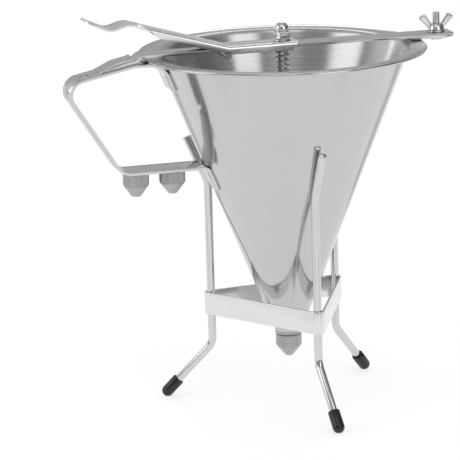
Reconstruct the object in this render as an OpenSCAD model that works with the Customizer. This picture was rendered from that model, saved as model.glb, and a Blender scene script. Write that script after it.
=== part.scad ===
// Batter dispenser: a sheet-steel funnel with a lever that lifts a plunger off its outlet,
// standing in a three-legged wire stand. Lengths are in millimetres, angles in degrees.
// +Z is up and the table is z = 0. The crossbar runs along X, and the handle is on the -X side.

/* [Funnel] */
// Outside diameter of the rim
rim_d = 190; // [160:1:220]
// Height of the cone's lower end above the table
outlet_z = 49; // [44:0.5:56]
// Half angle of the cone
cone_angle = 21.4; // [20.6:0.1:22.4]
// Thickness of the funnel's sheet
funnel_sheet = 1.2; // [0.8:0.1:1.6]
// Radial width of the flange between the cone and the rim's edge
flange_w = 12.2; // [9:0.1:15]
// Rise of the flange from the cone to the rim's edge
flange_rise = 1.1; // [0.4:0.1:2.5]
// Radius of the bend from the cone into the flange
flange_bend_r = 6; // [3:0.5:9]
// Thickness of the rounded edge
bead_d = 2; // [1.6:0.1:3]

/* [Outlet] */
// Diameter of the collar under the cone
collar_d = 18.4; // [17.4:0.1:20]
// Height of the collar's rim above the nozzle
collar_h = 2.3; // [1.5:0.1:5]
// Diameter of the collar's threaded spigot
spigot_d = 13.9; // [13:0.1:14.5]
// Length of the spigot inside the nozzle
spigot_h = 5.6; // [4:0.1:6]
// Diameter of the outlet's bore
outlet_d = 8.4; // [7:0.1:10]
// Outside diameter of a nozzle over its knurl
nozzle_d = 17.2; // [16.6:0.1:18]
// Height of a nozzle's knurled wall
nozzle_wall_h = 8.9; // [8:0.1:11]
// Height of a nozzle's cone
nozzle_cone_h = 6.8; // [5:0.1:9]
// Depth of a nozzle's threaded socket
socket_h = 6.6; // [6.2:0.1:7.4]
// Depth of the knurl's grooves
knurl_depth = 0.35; // [0.2:0.05:0.5]
// Number of the knurl's ridges
knurl_count = 40; // [30:1:56]
// Bore of the fitted nozzle's tip
fitted_bore = 3.6; // [2.6:0.1:5]
// Bore of the left spare nozzle's tip
left_bore = 5; // [3:0.1:5.4]
// Bore of the right spare nozzle's tip
right_bore = 4.4; // [3:0.1:5.4]
// Wall left at a nozzle's tip
tip_wall = 0.7; // [0.5:0.1:1.2]

/* [Handle] */
// Width of the handle's strip
handle_w = 22; // [18:0.5:26]
// Thickness of the handle's strip
handle_sheet = 2; // [1.6:0.1:2.6]
// Distance from the rim's edge to where the handle's top begins to fall
handle_fall_out = 8; // [6:0.5:12]
// Fall of the handle's top towards its outer end
handle_fall = 11.9; // [8:0.1:15]
// Lean of the handle's grip from upright
handle_lean = 32; // [28:0.5:36]
// Distance from the rim's edge to the handle's lower corner
handle_low_out = 17.8; // [15:0.1:23]
// Distance from the rim's top down to the handle's underside
handle_drop = 74.5; // [68:0.5:82]
// Outside radius of the handle's bend at the rim
handle_rim_r = 16; // [13:0.5:17]
// Outside radius of the handle's outer bend
handle_grip_r = 10.5; // [8:0.5:12]
// Outside radius of the handle's lower bend
handle_low_r = 12; // [6:0.5:14]
// Radius of the handle's bend at the cone
handle_foot_r = 4; // [3:0.5:6]
// Length of the handle's upper weld below its top
upper_weld = 18.6; // [15:0.2:26]
// Length of the handle's lower weld
lower_weld = 15; // [8:0.5:20]
// Diameter of the hanging hole
hang_d = 6; // [4:0.2:7]
// Distance from the start of the fall to the hanging hole, along the strip
hang_along = 31; // [29:0.2:31.6]
// Distance from the handle's lower corner to the left spare nozzle
left_spare_in = 11.3; // [9:0.1:13]
// Distance between the spare nozzles
spare_apart = 24.5; // [22:0.5:28]
// Length of the studs that hold the spare nozzles
stud_h = 5.6; // [4:0.1:6]

/* [Crossbar] */
// Width of the crossbar
bar_w = 15; // [13:0.5:16]
// Thickness of the crossbar
bar_sheet = 2; // [1.6:0.1:2.6]
// Distance from the rim's edge to the crossbar's right end
bar_end_out = 21.5; // [18:0.5:23]
// Distance from the rim's edge to the top of the crossbar's step
step_out = 1.5; // [1:0.25:3]
// Horizontal run of the crossbar's step
step_run = 4.5; // [3.5:0.25:5]
// Length of the crossbar's tongue beyond the start of the handle's fall
tongue_l = 10; // [6:0.5:12]
// Thickness of the tab on the rim
tab_sheet = 1.5; // [1.2:0.1:2.5]
// Width of the tab on the rim
tab_w = 16; // [14:0.5:18]
// Distance from the rim's edge to the tab's outer end
tab_end_out = 23.5; // [22:0.5:26]
// Distance that the tab reaches in over the flange
tab_lap = 7; // [5:0.5:9]
// Distance from the rim's edge to the clamping bolt
bolt_out = 12; // [10.5:0.5:13.5]
// Diameter of the clamping bolt
bolt_d = 5; // [4:0.5:6]
// Height of the clamping bolt above the crossbar
bolt_top = 13; // [11:0.5:16]
// Thickness of the keeper's sheet
keeper_sheet = 1; // [0.8:0.1:1.2]
// Length of the keeper's welded foot
keeper_foot = 4.5; // [3:0.5:6]
// Length of the keeper's ramp
keeper_ramp = 7; // [5:0.5:9]

/* [Wing nut] */
// Diameter of the hub's base
hub_base_d = 11; // [10:0.1:12]
// Diameter of the hub's top
hub_top_d = 8.5; // [7.5:0.1:9.5]
// Height of the hub
hub_h = 4.2; // [3.4:0.1:5]
// Half of the span over the wings
wing_reach = 12.5; // [11:0.1:14]
// Height of the wings' outer corners above the hub's base
wing_outer_z = 8.3; // [7:0.1:10]
// Height of the wings' upper corners above the hub's base
wing_top_z = 11; // [9:0.1:13]
// Distance of the wings' upper corners from the hub's axis
wing_top_x = 8.2; // [7:0.1:9]
// Thickness of the wings
wing_t = 2.4; // [1.8:0.1:3]
// Thickness of the washer under the wing nut
clamp_washer_t = 1; // [0.8:0.1:1.4]
// Diameter of the washer under the wing nut
clamp_washer_d = 11.5; // [11:0.1:13]

/* [Lever] */
// Width of the lever
lever_w = 20; // [18.5:0.5:22]
// Thickness of the lever's sheet
lever_sheet = 1.6; // [1.2:0.1:1.8]
// Depth of the lever's channel
lever_depth = 5.3; // [4.5:0.1:6]
// Distance from the plunger's axis to the lever's pivot
pivot_reach = 39.5; // [36:0.5:44]
// Distance of the lever's bend from its pivot, towards the plunger
bend_ahead = 1; // [0.8:0.1:2]
// Distance from the plunger's axis to the lever's right end
nose_reach = 9; // [8.5:0.5:13]
// Length of the slanted corner at the lever's right end
nose_slant = 4.5; // [2:0.5:6]
// Rise of the lever's arm
arm_rise = 16.6; // [15.6:0.2:18]
// Distance from the end of the channel's sides to the crest of the thumb plate
side_short = 11; // [9:0.5:18]
// Length of the slanted end of the channel's sides
side_slant = 9; // [5:0.5:12]
// Distance from the rim's edge to the crest of the thumb plate
crest_out = 9.5; // [6:0.5:12]
// Distance from the crest to the valley of the thumb plate
valley_run = 12; // [10:0.5:14]
// Fall from the crest to the valley
valley_drop = 3.8; // [2:0.2:4.6]
// Distance from the valley to the tip of the thumb plate
tip_run = 14.9; // [12:0.1:17]
// Rise from the valley to the tip
tip_rise = 6.9; // [5:0.1:9]
// Radius of the crest
crest_r = 14; // [8:0.5:16]
// Radius of the valley
valley_r = 10; // [6:0.5:12]
// Diameter of the pivot pin
pin_d = 2.5; // [2:0.1:3]
// Outside diameter of the tube that holds the pin
pin_tube_d = 4.4; // [4:0.1:5]
// Radius of the lever's ears
ear_r = 2.7; // [2.3:0.1:3.2]
// Thickness of the pin's heads
pin_head_t = 0.8; // [0.5:0.1:1.2]
// Diameter of the pin's heads
pin_head_d = 4; // [3.6:0.1:4.6]

/* [Plunger] */
// Diameter of the plunger's rod
rod_d = 6; // [5:0.1:6.4]
// Width of the dome nut across its flats
nut_af = 10; // [9.6:0.1:11]
// Height of the dome nut's hexagon
nut_hex_h = 5.2; // [4:0.1:6]
// Height of the dome nut's neck
nut_neck_h = 1.1; // [0.5:0.1:2]
// Diameter of the dome nut's dome
nut_dome_d = 9.5; // [9:0.1:9.6]
// Depth of the rod in the dome nut
nut_depth = 7.5; // [6:0.1:8]
// Diameter of the washer under the dome nut
washer_d = 11.6; // [11:0.1:12.4]
// Thickness of the washer under the dome nut
washer_t = 1; // [0.8:0.1:1.4]
// Diameter of the spring's stop on the rod
stop_d = 11; // [10.4:0.1:13]
// Height of the spring's stop
stop_h = 3; // [2:0.1:5]
// Outside diameter of the spring
spring_d = 9.8; // [9.4:0.1:10.4]
// Diameter of the spring's wire
wire_d = 1.2; // [1:0.05:1.3]
// Length of the spring between its seats
spring_l = 34; // [31:0.5:38]
// Number of the spring's curls
spring_curls = 11; // [10:1:12]
// Height of the valve's straight wall
valve_wall_h = 2.6; // [1.5:0.1:4]

/* [Stand] */
// Turn of the stand under the funnel
stand_turn = 5; // [0:1:10]
// Distance from the funnel's axis to the upright rods
leg_r = 52; // [50:0.5:56]
// Diameter of the stand's rods
leg_d = 5.5; // [5:0.1:6]
// Height of the rods' tips above the table
leg_top_z = 180; // [172:1:186]
// Lean of the rods above the upper bend
leg_lean = 24.4; // [23.6:0.2:26]
// Height of the rods' lower corner above the table
leg_low_z = 38; // [34:0.5:44]
// Splay of the feet from upright
foot_splay = 43; // [38:0.5:46]
// Inside radius of the rods' bends
leg_bend_r = 9; // [7:0.5:12]
// Height of the band's lower edge above the table
band_z = 59; // [54:0.5:64]
// Height of the band
band_h = 15; // [12:0.5:18]
// Thickness of the band
band_sheet = 1.6; // [1.2:0.1:2]
// Diameter of the rubber caps
cap_d = 8; // [7.4:0.1:9]
// Length of the rubber caps up to their round end
cap_l = 11.5; // [9:0.5:15]
// Depth of the caps' flat, where they bear on the table
cap_flat = 0.2; // [0.1:0.05:0.5]
// Depth of the rods in the caps
cap_depth = 10; // [8:0.5:12]

/* [Clearances] */
// Gap between pieces that are welded together
weld_gap = 0.1; // [0.05:0.01:0.2]
// Gap between a moving piece and its seat
seat_gap = 0.1; // [0.05:0.01:0.2]
// Radial gap of a pin or a thread in its hole
running_gap = 0.05; // [0.03:0.01:0.08]
// Gap between the valve and its seat
valve_gap = 0.3; // [0.2:0.05:0.4]
// Gap between the funnel and the stand, and at the spring's ends
rest_gap = 0.3; // [0.2:0.05:0.4]
// Gap beside a loose piece in a slot or pocket
side_gap = 0.4; // [0.3:0.05:0.6]

/* [Hidden] */
$fn = 96;

// How far a cut runs past what it cuts
overrun = 1;
// Angle of one step round a bend of sheet
bend_step = 7;
// Half of the band's turn round one rod, and the angle of one step of it
band_turn = 60;
band_step = 6;

// The funnel's wall: its outer face runs straight from the throat to the flange's corner
rim_r = rim_d / 2;
bead_r = rim_r - bead_d / 2;
corner_r = rim_r - flange_w;
throat_r = collar_d / 2;
throat_z = outlet_z;
apex_z = throat_z - throat_r / tan(cone_angle);
corner_z = apex_z + corner_r / tan(cone_angle);
bead_z = corner_z + funnel_sheet / 2 + flange_rise;
rim_z = bead_z + bead_d / 2;
throat_inner_r = throat_r - funnel_sheet / cos(cone_angle);
function cone_r(z) = (z - apex_z) * tan(cone_angle);

// The outlet: the collar's shoulder meets the nozzle, and its seat falls at 45 degrees
shoulder_z = throat_z - collar_h;
seat_drop = throat_inner_r - outlet_d / 2;
nozzle_top_z = shoulder_z - seat_gap;
socket_d = spigot_d + 2 * running_gap;
nozzle_h = nozzle_wall_h + nozzle_cone_h;

// The handle: corners of its outer face, from the rim round the grip to the cone
handle_top_z = rim_z - bead_d - weld_gap;
handle_low_z = rim_z - handle_drop;
handle_fall_x = rim_r + handle_fall_out;
handle_low_x = rim_r + handle_low_out;
left_spare_x = handle_low_x - left_spare_in;
right_spare_x = left_spare_x - spare_apart;
upper_sink = cone_r(handle_top_z) - sqrt(pow(cone_r(handle_top_z), 2) - pow(handle_w / 2, 2));
lower_sink = cone_r(handle_low_z) - sqrt(pow(cone_r(handle_low_z), 2) - pow(handle_w / 2, 2));
foot_stand = handle_sheet / cos(cone_angle) - lower_sink;
upper_tip_z = handle_top_z - upper_weld;
lower_tip_z = handle_low_z - lower_weld;
handle_fall_point = [-handle_fall_x, handle_top_z];
handle_low_point = [-handle_low_x, handle_low_z];
handle_grip_point = meet(handle_fall_point, [-cos(handle_fall), -sin(handle_fall)],
                         handle_low_point, [-sin(handle_lean), cos(handle_lean)]);
handle_corners = [[upper_sink - cone_r(upper_tip_z), upper_tip_z],
                  [upper_sink - cone_r(handle_top_z), handle_top_z],
                  handle_fall_point, handle_grip_point, handle_low_point,
                  [-cone_r(handle_low_z) - foot_stand, handle_low_z],
                  [-cone_r(lower_tip_z) - foot_stand, lower_tip_z]];
handle_face = rounded(handle_corners, [handle_rim_r, 0, handle_grip_r, handle_low_r, handle_foot_r]);

// The crossbar and its tongue, which lies on the handle under the keeper
bar_z = rim_z + weld_gap + tab_sheet;
bar_top_z = bar_z + bar_sheet;
tongue_z = handle_top_z + weld_gap;
bar_end_x = rim_r + bar_end_out;
step_x = rim_r + step_out;
step_low_x = step_x + step_run;
tab_start_x = rim_r - tab_lap;
tab_end_x = rim_r + tab_end_out;
bolt_x = rim_r + bolt_out;
tongue_corner = [-handle_fall_x, tongue_z];
tongue_end = tongue_corner + tongue_l * [-cos(handle_fall), -sin(handle_fall)];

// The keeper: corners of its outer face, from its welded foot to its open end
keeper_inner_h = bar_sheet + weld_gap + side_gap;
keeper_w = bar_w + 2 * side_gap + 2 * keeper_sheet;
keeper_roof = tongue_l + side_gap + weld_gap;
keeper_end_x = step_low_x + weld_gap;

// The lever turns about a pin in a tube under the crossbar
pivot_x = -pivot_reach;
pivot_z = bar_z - weld_gap - pin_tube_d / 2;
plate_top_z = bar_top_z + seat_gap + lever_sheet;
bend_x = pivot_x + bend_ahead;
crest_reach = rim_r + crest_out + bend_x;
side_reach = crest_reach - side_short;
crest_point = [bend_x - crest_reach, plate_top_z + crest_reach * tan(arm_rise)];
valley_point = crest_point - [valley_run, valley_drop];
tip_point = valley_point + [-tip_run, tip_rise];
arm_bend_r = 6 * lever_sheet;
lever_corners = [[nose_reach, plate_top_z], [bend_x, plate_top_z],
                 crest_point, valley_point, tip_point];
lever_face = rounded(lever_corners, [arm_bend_r, crest_r, valley_r]);
slot_w = rod_d + side_gap;
// At its upper stop the lever has turned this far
lever_turn = 13;
slot_shift = (plate_top_z - pivot_z) * tan(lever_turn) + pivot_reach * (1 / cos(lever_turn) - 1);

// The plunger
washer_z = plate_top_z + seat_gap;
nut_z = washer_z + washer_t;
rod_top_z = nut_z + nut_depth - running_gap;
stop_z = bar_z - spring_l - stop_h;
valve_r = throat_inner_r - valve_gap * sqrt(2);
valve_nose_r = rod_d / 2;
valve_nose_z = throat_z - valve_gap * sqrt(2) - (valve_r - valve_nose_r);
valve_wall_z = valve_nose_z + valve_r - valve_nose_r;
valve_top_z = valve_wall_z + valve_wall_h + valve_r - rod_d / 2;
rod_low_z = valve_wall_z;
guide_gap = 1.5 * running_gap;

// The spring: one wire, 8 rings to a curl and 6 sides, with a straight piece at each end
rings_per_curl = 8;
wire_sides = 6;
spring_mean_r = (spring_d - wire_d) / 2;
spring_low_z = stop_z + stop_h + rest_gap + wire_d / 2;
spring_high_z = bar_z - rest_gap - wire_d / 2;

// The wing nut and its washer
clamp_washer_z = bar_top_z + seat_gap;
wing_nut_z = clamp_washer_z + clamp_washer_t + seat_gap;
bolt_head_t = 0.3 * bolt_d;
bolt_head_d = 1.8 * bolt_d;

// The stand: corners of a rod's centre line, as distance from the axis and height
upper_bend_z = apex_z + (leg_r - (leg_d / 2 + rest_gap) / cos(cone_angle)) / tan(cone_angle);
cap_centre_z = cap_d / 2 - cap_flat;
foot_run = (leg_low_z - cap_centre_z) * tan(foot_splay);
leg_corners = [[leg_r + (leg_top_z - upper_bend_z) * tan(leg_lean), leg_top_z],
               [leg_r, upper_bend_z], [leg_r, leg_low_z], [leg_r + foot_run, cap_centre_z]];
leg_angles = [150 + stand_turn, 270 + stand_turn, 30 + stand_turn];
band_r = leg_d / 2 + weld_gap;
// A bend is drawn this much thicker than the straight rods, which run this far into it
bend_swell = 0.01;
bend_lap = 0.2;

// The part's origin is under the middle of its box, so the funnel's axis stands at axis_x
grip_centre_x = arc_centre(handle_fall_point, handle_grip_point, handle_low_point, handle_grip_r).x;
left_x = grip_centre_x - handle_grip_r;
right_x = max(bolt_x + wing_reach, tab_end_x);
axis_x = -(left_x + right_x) / 2;

// The unit vector along v
function unit(v) = v / norm(v);
// v turned a quarter to the left
function left_of(v) = [-v.y, v.x];
// v turned by an angle
function turned(v, angle) = [v.x * cos(angle) - v.y * sin(angle), v.x * sin(angle) + v.y * cos(angle)];
// Where the line from p along u meets the line from q along v
function meet(p, u, q, v) = p + u * cross(q - p, v) / cross(u, v);
// The turn at b on the way from a to c
function turn_at(a, b, c) = atan2(cross(unit(b - a), unit(c - b)), unit(b - a) * unit(c - b));
// The centre of the arc of radius r that rounds the corner b
function arc_centre(a, b, c, r) =
    let (turn = turn_at(a, b, c), u = unit(b - a))
    b - u * r * tan(abs(turn) / 2) + left_of(u) * sign(turn) * r;
// The points of that arc
function bend(a, b, c, r) =
    let (turn = turn_at(a, b, c), centre = arc_centre(a, b, c, r),
         start = b - unit(b - a) * r * tan(abs(turn) / 2) - centre,
         steps = ceil(abs(turn) / bend_step))
    r == 0 ? [b] : [for (i = [0:steps]) centre + turned(start, turn * i / steps)];
// A line through the corners, each rounded by its radius
function rounded(p, radii) =
    [p[0], for (i = [1:len(p) - 2]) each bend(p[i - 1], p[i], p[i + 1], radii[i - 1]), p[len(p) - 1]];
// The line at distance d on the left of p
function beside(p, d) =
    [for (i = [0:len(p) - 1])
        let (u = unit(p[max(i, 1)] - p[max(i, 1) - 1]),
             v = unit(p[min(i + 1, len(p) - 1)] - p[min(i, len(p) - 2)]),
             middle = unit(left_of(u) + left_of(v)))
        p[i] + middle * d / (middle * left_of(u))];
function reversed(p) = [for (i = [len(p) - 1:-1:0]) p[i]];

// A plate of thickness y about y = 0, with its outline in x and z
module upright_plate(outline, y) {
    rotate([90, 0, 0]) linear_extrude(y, center = true) polygon(outline);
}

// A strip of sheet of width w, whose outer face follows the line and whose thickness t lies on its left
module strip(face, t, w) {
    upright_plate(concat(face, reversed(beside(face, t))), w);
}

// A solid cone with the funnel's outer face, swollen by a gap
module cone_core(low_z, high_z, gap) {
    swell = gap / cos(cone_angle);
    translate([0, 0, low_z])
        cylinder(h = high_z - low_z, r1 = cone_r(low_z) + swell, r2 = cone_r(high_z) + swell);
}

// Moves the funnel's axis to its place in the part's frame
module placed() {
    translate([axis_x, 0, 0]) children();
}

module funnel_cone() {
    outer = rounded([[throat_r, throat_z], [corner_r, corner_z], [bead_r, bead_z - funnel_sheet / 2]],
                    [flange_bend_r]);
    inner = beside(outer, funnel_sheet);
    wall = concat(outer, [for (i = [len(inner) - 1:-1:1]) inner[i]], [[throat_inner_r, throat_z]]);
    color("lightsteelblue") placed() rotate_extrude() {
        polygon(wall);
        translate([bead_r, bead_z]) circle(d = bead_d);
    }
}

module outlet_collar() {
    color("silver") placed() rotate_extrude() polygon([
        [throat_inner_r, throat_z], [throat_r, throat_z], [throat_r, shoulder_z],
        [spigot_d / 2, shoulder_z], [spigot_d / 2, shoulder_z - spigot_h],
        [outlet_d / 2, shoulder_z - spigot_h], [outlet_d / 2, throat_z - seat_drop]]);
}

// A nozzle hanging down from z = 0, with a socket for its thread and a knurled wall
module nozzle(bore) {
    knurl_margin = nozzle_wall_h / 12;
    core_r = nozzle_d / 2 - knurl_depth - running_gap;
    tip_r = bore / 2 + tip_wall;
    lip = nozzle_cone_h / 4;
    chamfer = 2 * knurl_depth;
    difference() {
        union() {
            rotate_extrude() polygon([
                [0, 0], [core_r - chamfer, 0], [core_r, -chamfer], [core_r, -nozzle_wall_h],
                [tip_r, -nozzle_h], [0, -nozzle_h]]);
            translate([0, 0, knurl_margin - nozzle_wall_h])
                linear_extrude(nozzle_wall_h - 2 * knurl_margin) knurl();
        }
        rotate_extrude() polygon([
            [0, overrun], [socket_d / 2, overrun], [socket_d / 2, -socket_h],
            [outlet_d / 2 + knurl_depth, -socket_h], [outlet_d / 2 + knurl_depth, -nozzle_wall_h],
            [bore / 2, lip - nozzle_h], [bore / 2, -nozzle_h - overrun], [0, -nozzle_h - overrun]]);
    }
}

// The knurl's outline: ridges at the full radius and grooves between them
module knurl() {
    step = 360 / knurl_count;
    polygon([for (i = [0:knurl_count - 1]) each [
        nozzle_d / 2 * [cos(i * step), sin(i * step)],
        (nozzle_d / 2 - knurl_depth) * [cos((i + 0.5) * step), sin((i + 0.5) * step)]]]);
}

module fitted_nozzle() {
    color("gainsboro") placed() translate([0, 0, nozzle_top_z]) nozzle(fitted_bore);
}

module spare_nozzle(x, bore) {
    color("gainsboro") placed() translate([-x, 0, handle_low_z - seat_gap]) nozzle(bore);
}

module spare_nozzle_left() {
    spare_nozzle(left_spare_x, left_bore);
}

module spare_nozzle_right() {
    spare_nozzle(right_spare_x, right_bore);
}

module nozzle_studs() {
    color("silver") placed() for (x = [left_spare_x, right_spare_x])
        translate([-x, 0, handle_low_z - stud_h]) cylinder(h = stud_h, d = spigot_d);
}

module carry_handle() {
    color("silver") placed() difference() {
        strip(handle_face, handle_sheet, handle_w);
        cone_core(lower_tip_z - lower_weld, handle_top_z, weld_gap);
        translate([handle_fall_point.x, 0, handle_fall_point.y]) rotate([0, -handle_fall, 0])
            translate([-hang_along, 0, -handle_sheet - overrun])
                cylinder(h = handle_sheet + 2 * overrun, d = hang_d);
    }
}

// The keeper is drawn along the handle's falling top: x away from the funnel, z off the strip
module bar_keeper() {
    open_x = (handle_fall_x - keeper_end_x) / cos(handle_fall);
    roof_z = weld_gap + keeper_inner_h + keeper_sheet;
    foot_z = weld_gap + keeper_sheet;
    foot_x = keeper_roof + keeper_ramp;
    corners = [[foot_x + keeper_foot, foot_z], [foot_x, foot_z], [keeper_roof, roof_z], [0, roof_z],
               [-open_x, roof_z + open_x * sin(handle_fall)]];
    inner = beside(corners, keeper_sheet);
    bend_r = keeper_ramp / 3;
    outside = concat(rounded(corners, [bend_r, bend_r, 0]),
                     [[-open_x, weld_gap + open_x * sin(handle_fall)], [0, weld_gap],
                      [foot_x + keeper_foot, weld_gap]]);
    pocket = concat([inner[1] + overrun * unit(inner[1] - inner[2])],
                    bend(inner[1], inner[2], inner[3], bend_r - keeper_sheet),
                    [inner[3], inner[4] + overrun * unit(inner[4] - inner[3]),
                     [-open_x - overrun, weld_gap - overrun]]);
    color("lightgrey") placed()
        translate([handle_fall_point.x, 0, handle_fall_point.y]) rotate([0, -handle_fall, 0])
            mirror([1, 0, 0]) difference() {
                upright_plate(outside, keeper_w);
                upright_plate(pocket, keeper_w - 2 * keeper_sheet);
            }
}

module rim_tab() {
    color("lightgrey") placed() difference() {
        union() {
            translate([tab_start_x, -tab_w / 2, rim_z + weld_gap])
                cube([tab_end_x - tab_w / 2 - tab_start_x, tab_w, tab_sheet]);
            translate([tab_end_x - tab_w / 2, 0, rim_z + weld_gap]) cylinder(h = tab_sheet, d = tab_w);
        }
        translate([bolt_x, 0, rim_z - overrun])
            cylinder(h = tab_sheet + 2 * overrun, d = bolt_d + 2 * running_gap);
    }
}

module clamp_bolt() {
    color("silver") placed() translate([bolt_x, 0, 0]) {
        translate([0, 0, rim_z - bolt_head_t]) cylinder(h = bolt_head_t, d = bolt_head_d);
        translate([0, 0, rim_z]) cylinder(h = bar_top_z + bolt_top - rim_z, d = bolt_d);
    }
}

module crossbar() {
    face = [[bar_end_x, bar_top_z], [-step_x, bar_top_z], [-step_low_x, tongue_z + bar_sheet],
            [-handle_fall_x, tongue_z + bar_sheet],
            tongue_end + bar_sheet * [-sin(handle_fall), cos(handle_fall)]];
    color("lightgrey") placed() difference() {
        strip(face, bar_sheet, bar_w);
        translate([0, 0, bar_z - overrun])
            cylinder(h = bar_sheet + 2 * overrun, d = rod_d + 2 * guide_gap);
        translate([bolt_x, 0, bar_z - overrun])
            cylinder(h = bar_sheet + 2 * overrun, d = bolt_d + side_gap);
    }
}

// Draws its children lying along Y through the lever's pivot
module at_pivot() {
    translate([pivot_x, 0, pivot_z]) rotate([90, 0, 0]) children();
}

module pivot_tube() {
    color("silver") placed() at_pivot() difference() {
        cylinder(h = bar_w, d = pin_tube_d, center = true);
        cylinder(h = bar_w + 2 * overrun, d = pin_d + 2 * running_gap, center = true);
    }
}

module pivot_pin() {
    head_y = lever_w / 2 + seat_gap;
    color("silver") placed() at_pivot() {
        cylinder(h = 2 * head_y, d = pin_d, center = true);
        for (side = [-1, 1]) translate([0, 0, side * (head_y + pin_head_t / 2)])
            cylinder(h = pin_head_t, d = pin_head_d, center = true);
    }
}

module lever() {
    arm = [cos(180 - arm_rise), sin(180 - arm_rise)];
    bend_point = lever_corners[1];
    side_end = bend_point + side_reach / cos(arm_rise) * arm;
    upper = beside([lever_corners[0], bend_point, side_end], lever_sheet / 2);
    lower = beside([lever_corners[0], bend_point, side_end], lever_depth);
    side = concat(upper, [lower[2] - side_slant * arm, lower[1], lower[0] - [nose_slant, 0],
                          lower[0] + [0, lever_depth - 2 * lever_sheet]]);
    color("lightgrey") placed() difference() {
        union() {
            strip(lever_face, lever_sheet, lever_w);
            for (y = [-1, 1] * (lever_w - lever_sheet) / 2) translate([0, y, 0]) {
                upright_plate(side, lever_sheet);
                at_pivot() cylinder(h = lever_sheet, r = ear_r, center = true);
            }
        }
        at_pivot() cylinder(h = lever_w + 2 * overrun, d = pin_d + 2 * running_gap, center = true);
        translate([0, 0, plate_top_z - lever_sheet - overrun]) {
            cylinder(h = lever_sheet + 2 * overrun, d = slot_w);
            translate([0, -slot_w / 2, 0]) cube([slot_shift, slot_w, lever_sheet + 2 * overrun]);
            translate([slot_shift, 0, 0]) cylinder(h = lever_sheet + 2 * overrun, d = slot_w);
        }
    }
}

module plunger_rod() {
    color("silver") placed() translate([0, 0, rod_low_z])
        cylinder(h = rod_top_z - rod_low_z, d = rod_d);
}

module valve_cone() {
    socket_r = rod_d / 2 + running_gap;
    color("gainsboro") placed() difference() {
        rotate_extrude() polygon([
            [0, valve_nose_z], [valve_nose_r, valve_nose_z], [valve_r, valve_wall_z],
            [valve_r, valve_wall_z + valve_wall_h], [socket_r + funnel_sheet, valve_top_z],
            [0, valve_top_z]]);
        translate([0, 0, rod_low_z - running_gap])
            cylinder(h = valve_top_z - rod_low_z + overrun, r = socket_r);
    }
}

module dome_nut() {
    color("gainsboro") placed() translate([0, 0, nut_z]) difference() {
        union() {
            rotate(30) cylinder(h = nut_hex_h, d = nut_af / cos(30), $fn = 6);
            cylinder(h = nut_hex_h + nut_neck_h, d = nut_dome_d);
            translate([0, 0, nut_hex_h + nut_neck_h]) intersection() {
                sphere(d = nut_dome_d);
                cylinder(h = nut_dome_d, d = 2 * nut_dome_d);
            }
        }
        translate([0, 0, -overrun]) cylinder(h = nut_depth + overrun, d = rod_d + 2 * running_gap);
    }
}

module nut_washer() {
    color("silver") placed() translate([0, 0, washer_z]) difference() {
        cylinder(h = washer_t, d = washer_d);
        translate([0, 0, -overrun]) cylinder(h = washer_t + 2 * overrun, d = rod_d + 2 * running_gap);
    }
}

module spring_stop() {
    color("silver") placed() translate([0, 0, stop_z]) difference() {
        cylinder(h = stop_h, d = stop_d);
        translate([0, 0, -overrun]) cylinder(h = stop_h + 2 * overrun, d = rod_d + 2 * running_gap);
    }
}

// One ring of the spring's wire: its centre, and the wire's direction there
function spring_centre(i) =
    let (angle = 360 * i / rings_per_curl)
    [spring_mean_r * cos(angle), spring_mean_r * sin(angle),
     spring_low_z + (spring_high_z - spring_low_z) * i / (spring_curls * rings_per_curl)];
function spring_along(i) =
    let (angle = 360 * i / rings_per_curl, curl = 2 * PI * spring_mean_r)
    unit([-curl * sin(angle), curl * cos(angle), (spring_high_z - spring_low_z) / spring_curls]);
function spring_ring(i, push) =
    let (angle = 360 * i / rings_per_curl, out = [cos(angle), sin(angle), 0],
         along = spring_along(i), up = cross(out, along), centre = spring_centre(i) + push * along)
    [for (k = [0:wire_sides - 1])
        centre + wire_d / 2 * (out * cos(360 * k / wire_sides) + up * sin(360 * k / wire_sides))];

module return_spring() {
    last = spring_curls * rings_per_curl;
    rings = concat([spring_ring(0, -wire_d)], [for (i = [0:last]) spring_ring(i, 0)],
                   [spring_ring(last, wire_d)]);
    points = [for (ring = rings) each ring];
    tube = [for (i = [0:len(rings) - 2]) for (k = [0:wire_sides - 1])
        let (a = i * wire_sides + k, b = i * wire_sides + (k + 1) % wire_sides,
             c = a + wire_sides, d = b + wire_sides)
        each [[a, b, d], [a, d, c]]];
    far = len(points) - wire_sides;
    low_end = [for (k = [1:wire_sides - 2]) [0, k + 1, k]];
    high_end = [for (k = [1:wire_sides - 2]) [far, far + k, far + k + 1]];
    gaps = [for (i = [0:last]) for (j = [i + rings_per_curl / 2:last])
        norm(spring_centre(i) - spring_centre(j)) - wire_d];
    echo(least_spring_gap = min(gaps));
    color("dimgrey") placed() polyhedron(points, concat(tube, low_end, high_end));
}

module clamp_washer() {
    color("silver") placed() translate([bolt_x, 0, clamp_washer_z]) difference() {
        cylinder(h = clamp_washer_t, d = clamp_washer_d);
        translate([0, 0, -overrun])
            cylinder(h = clamp_washer_t + 2 * overrun, d = bolt_d + 2 * running_gap);
    }
}

module wing_nut() {
    wing = [[0, hub_h / 4], [hub_base_d / 2 - wing_t / 4, hub_h / 4], [wing_reach, wing_outer_z],
            [wing_top_x, wing_top_z], [hub_top_d / 4, hub_h - wing_t / 4]];
    color("gainsboro") placed() translate([bolt_x, 0, wing_nut_z]) difference() {
        union() {
            cylinder(h = hub_h, d1 = hub_base_d, d2 = hub_top_d);
            for (side = [0, 180]) rotate(side) upright_plate(wing, wing_t);
        }
        translate([0, 0, -overrun])
            cylinder(h = wing_top_z + 2 * overrun, d = bolt_d + 2 * running_gap);
    }
}

// Draws its children in a leg's own plane: x away from the funnel's axis
module leg_place(index) {
    placed() rotate(leg_angles[index]) children();
}

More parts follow.
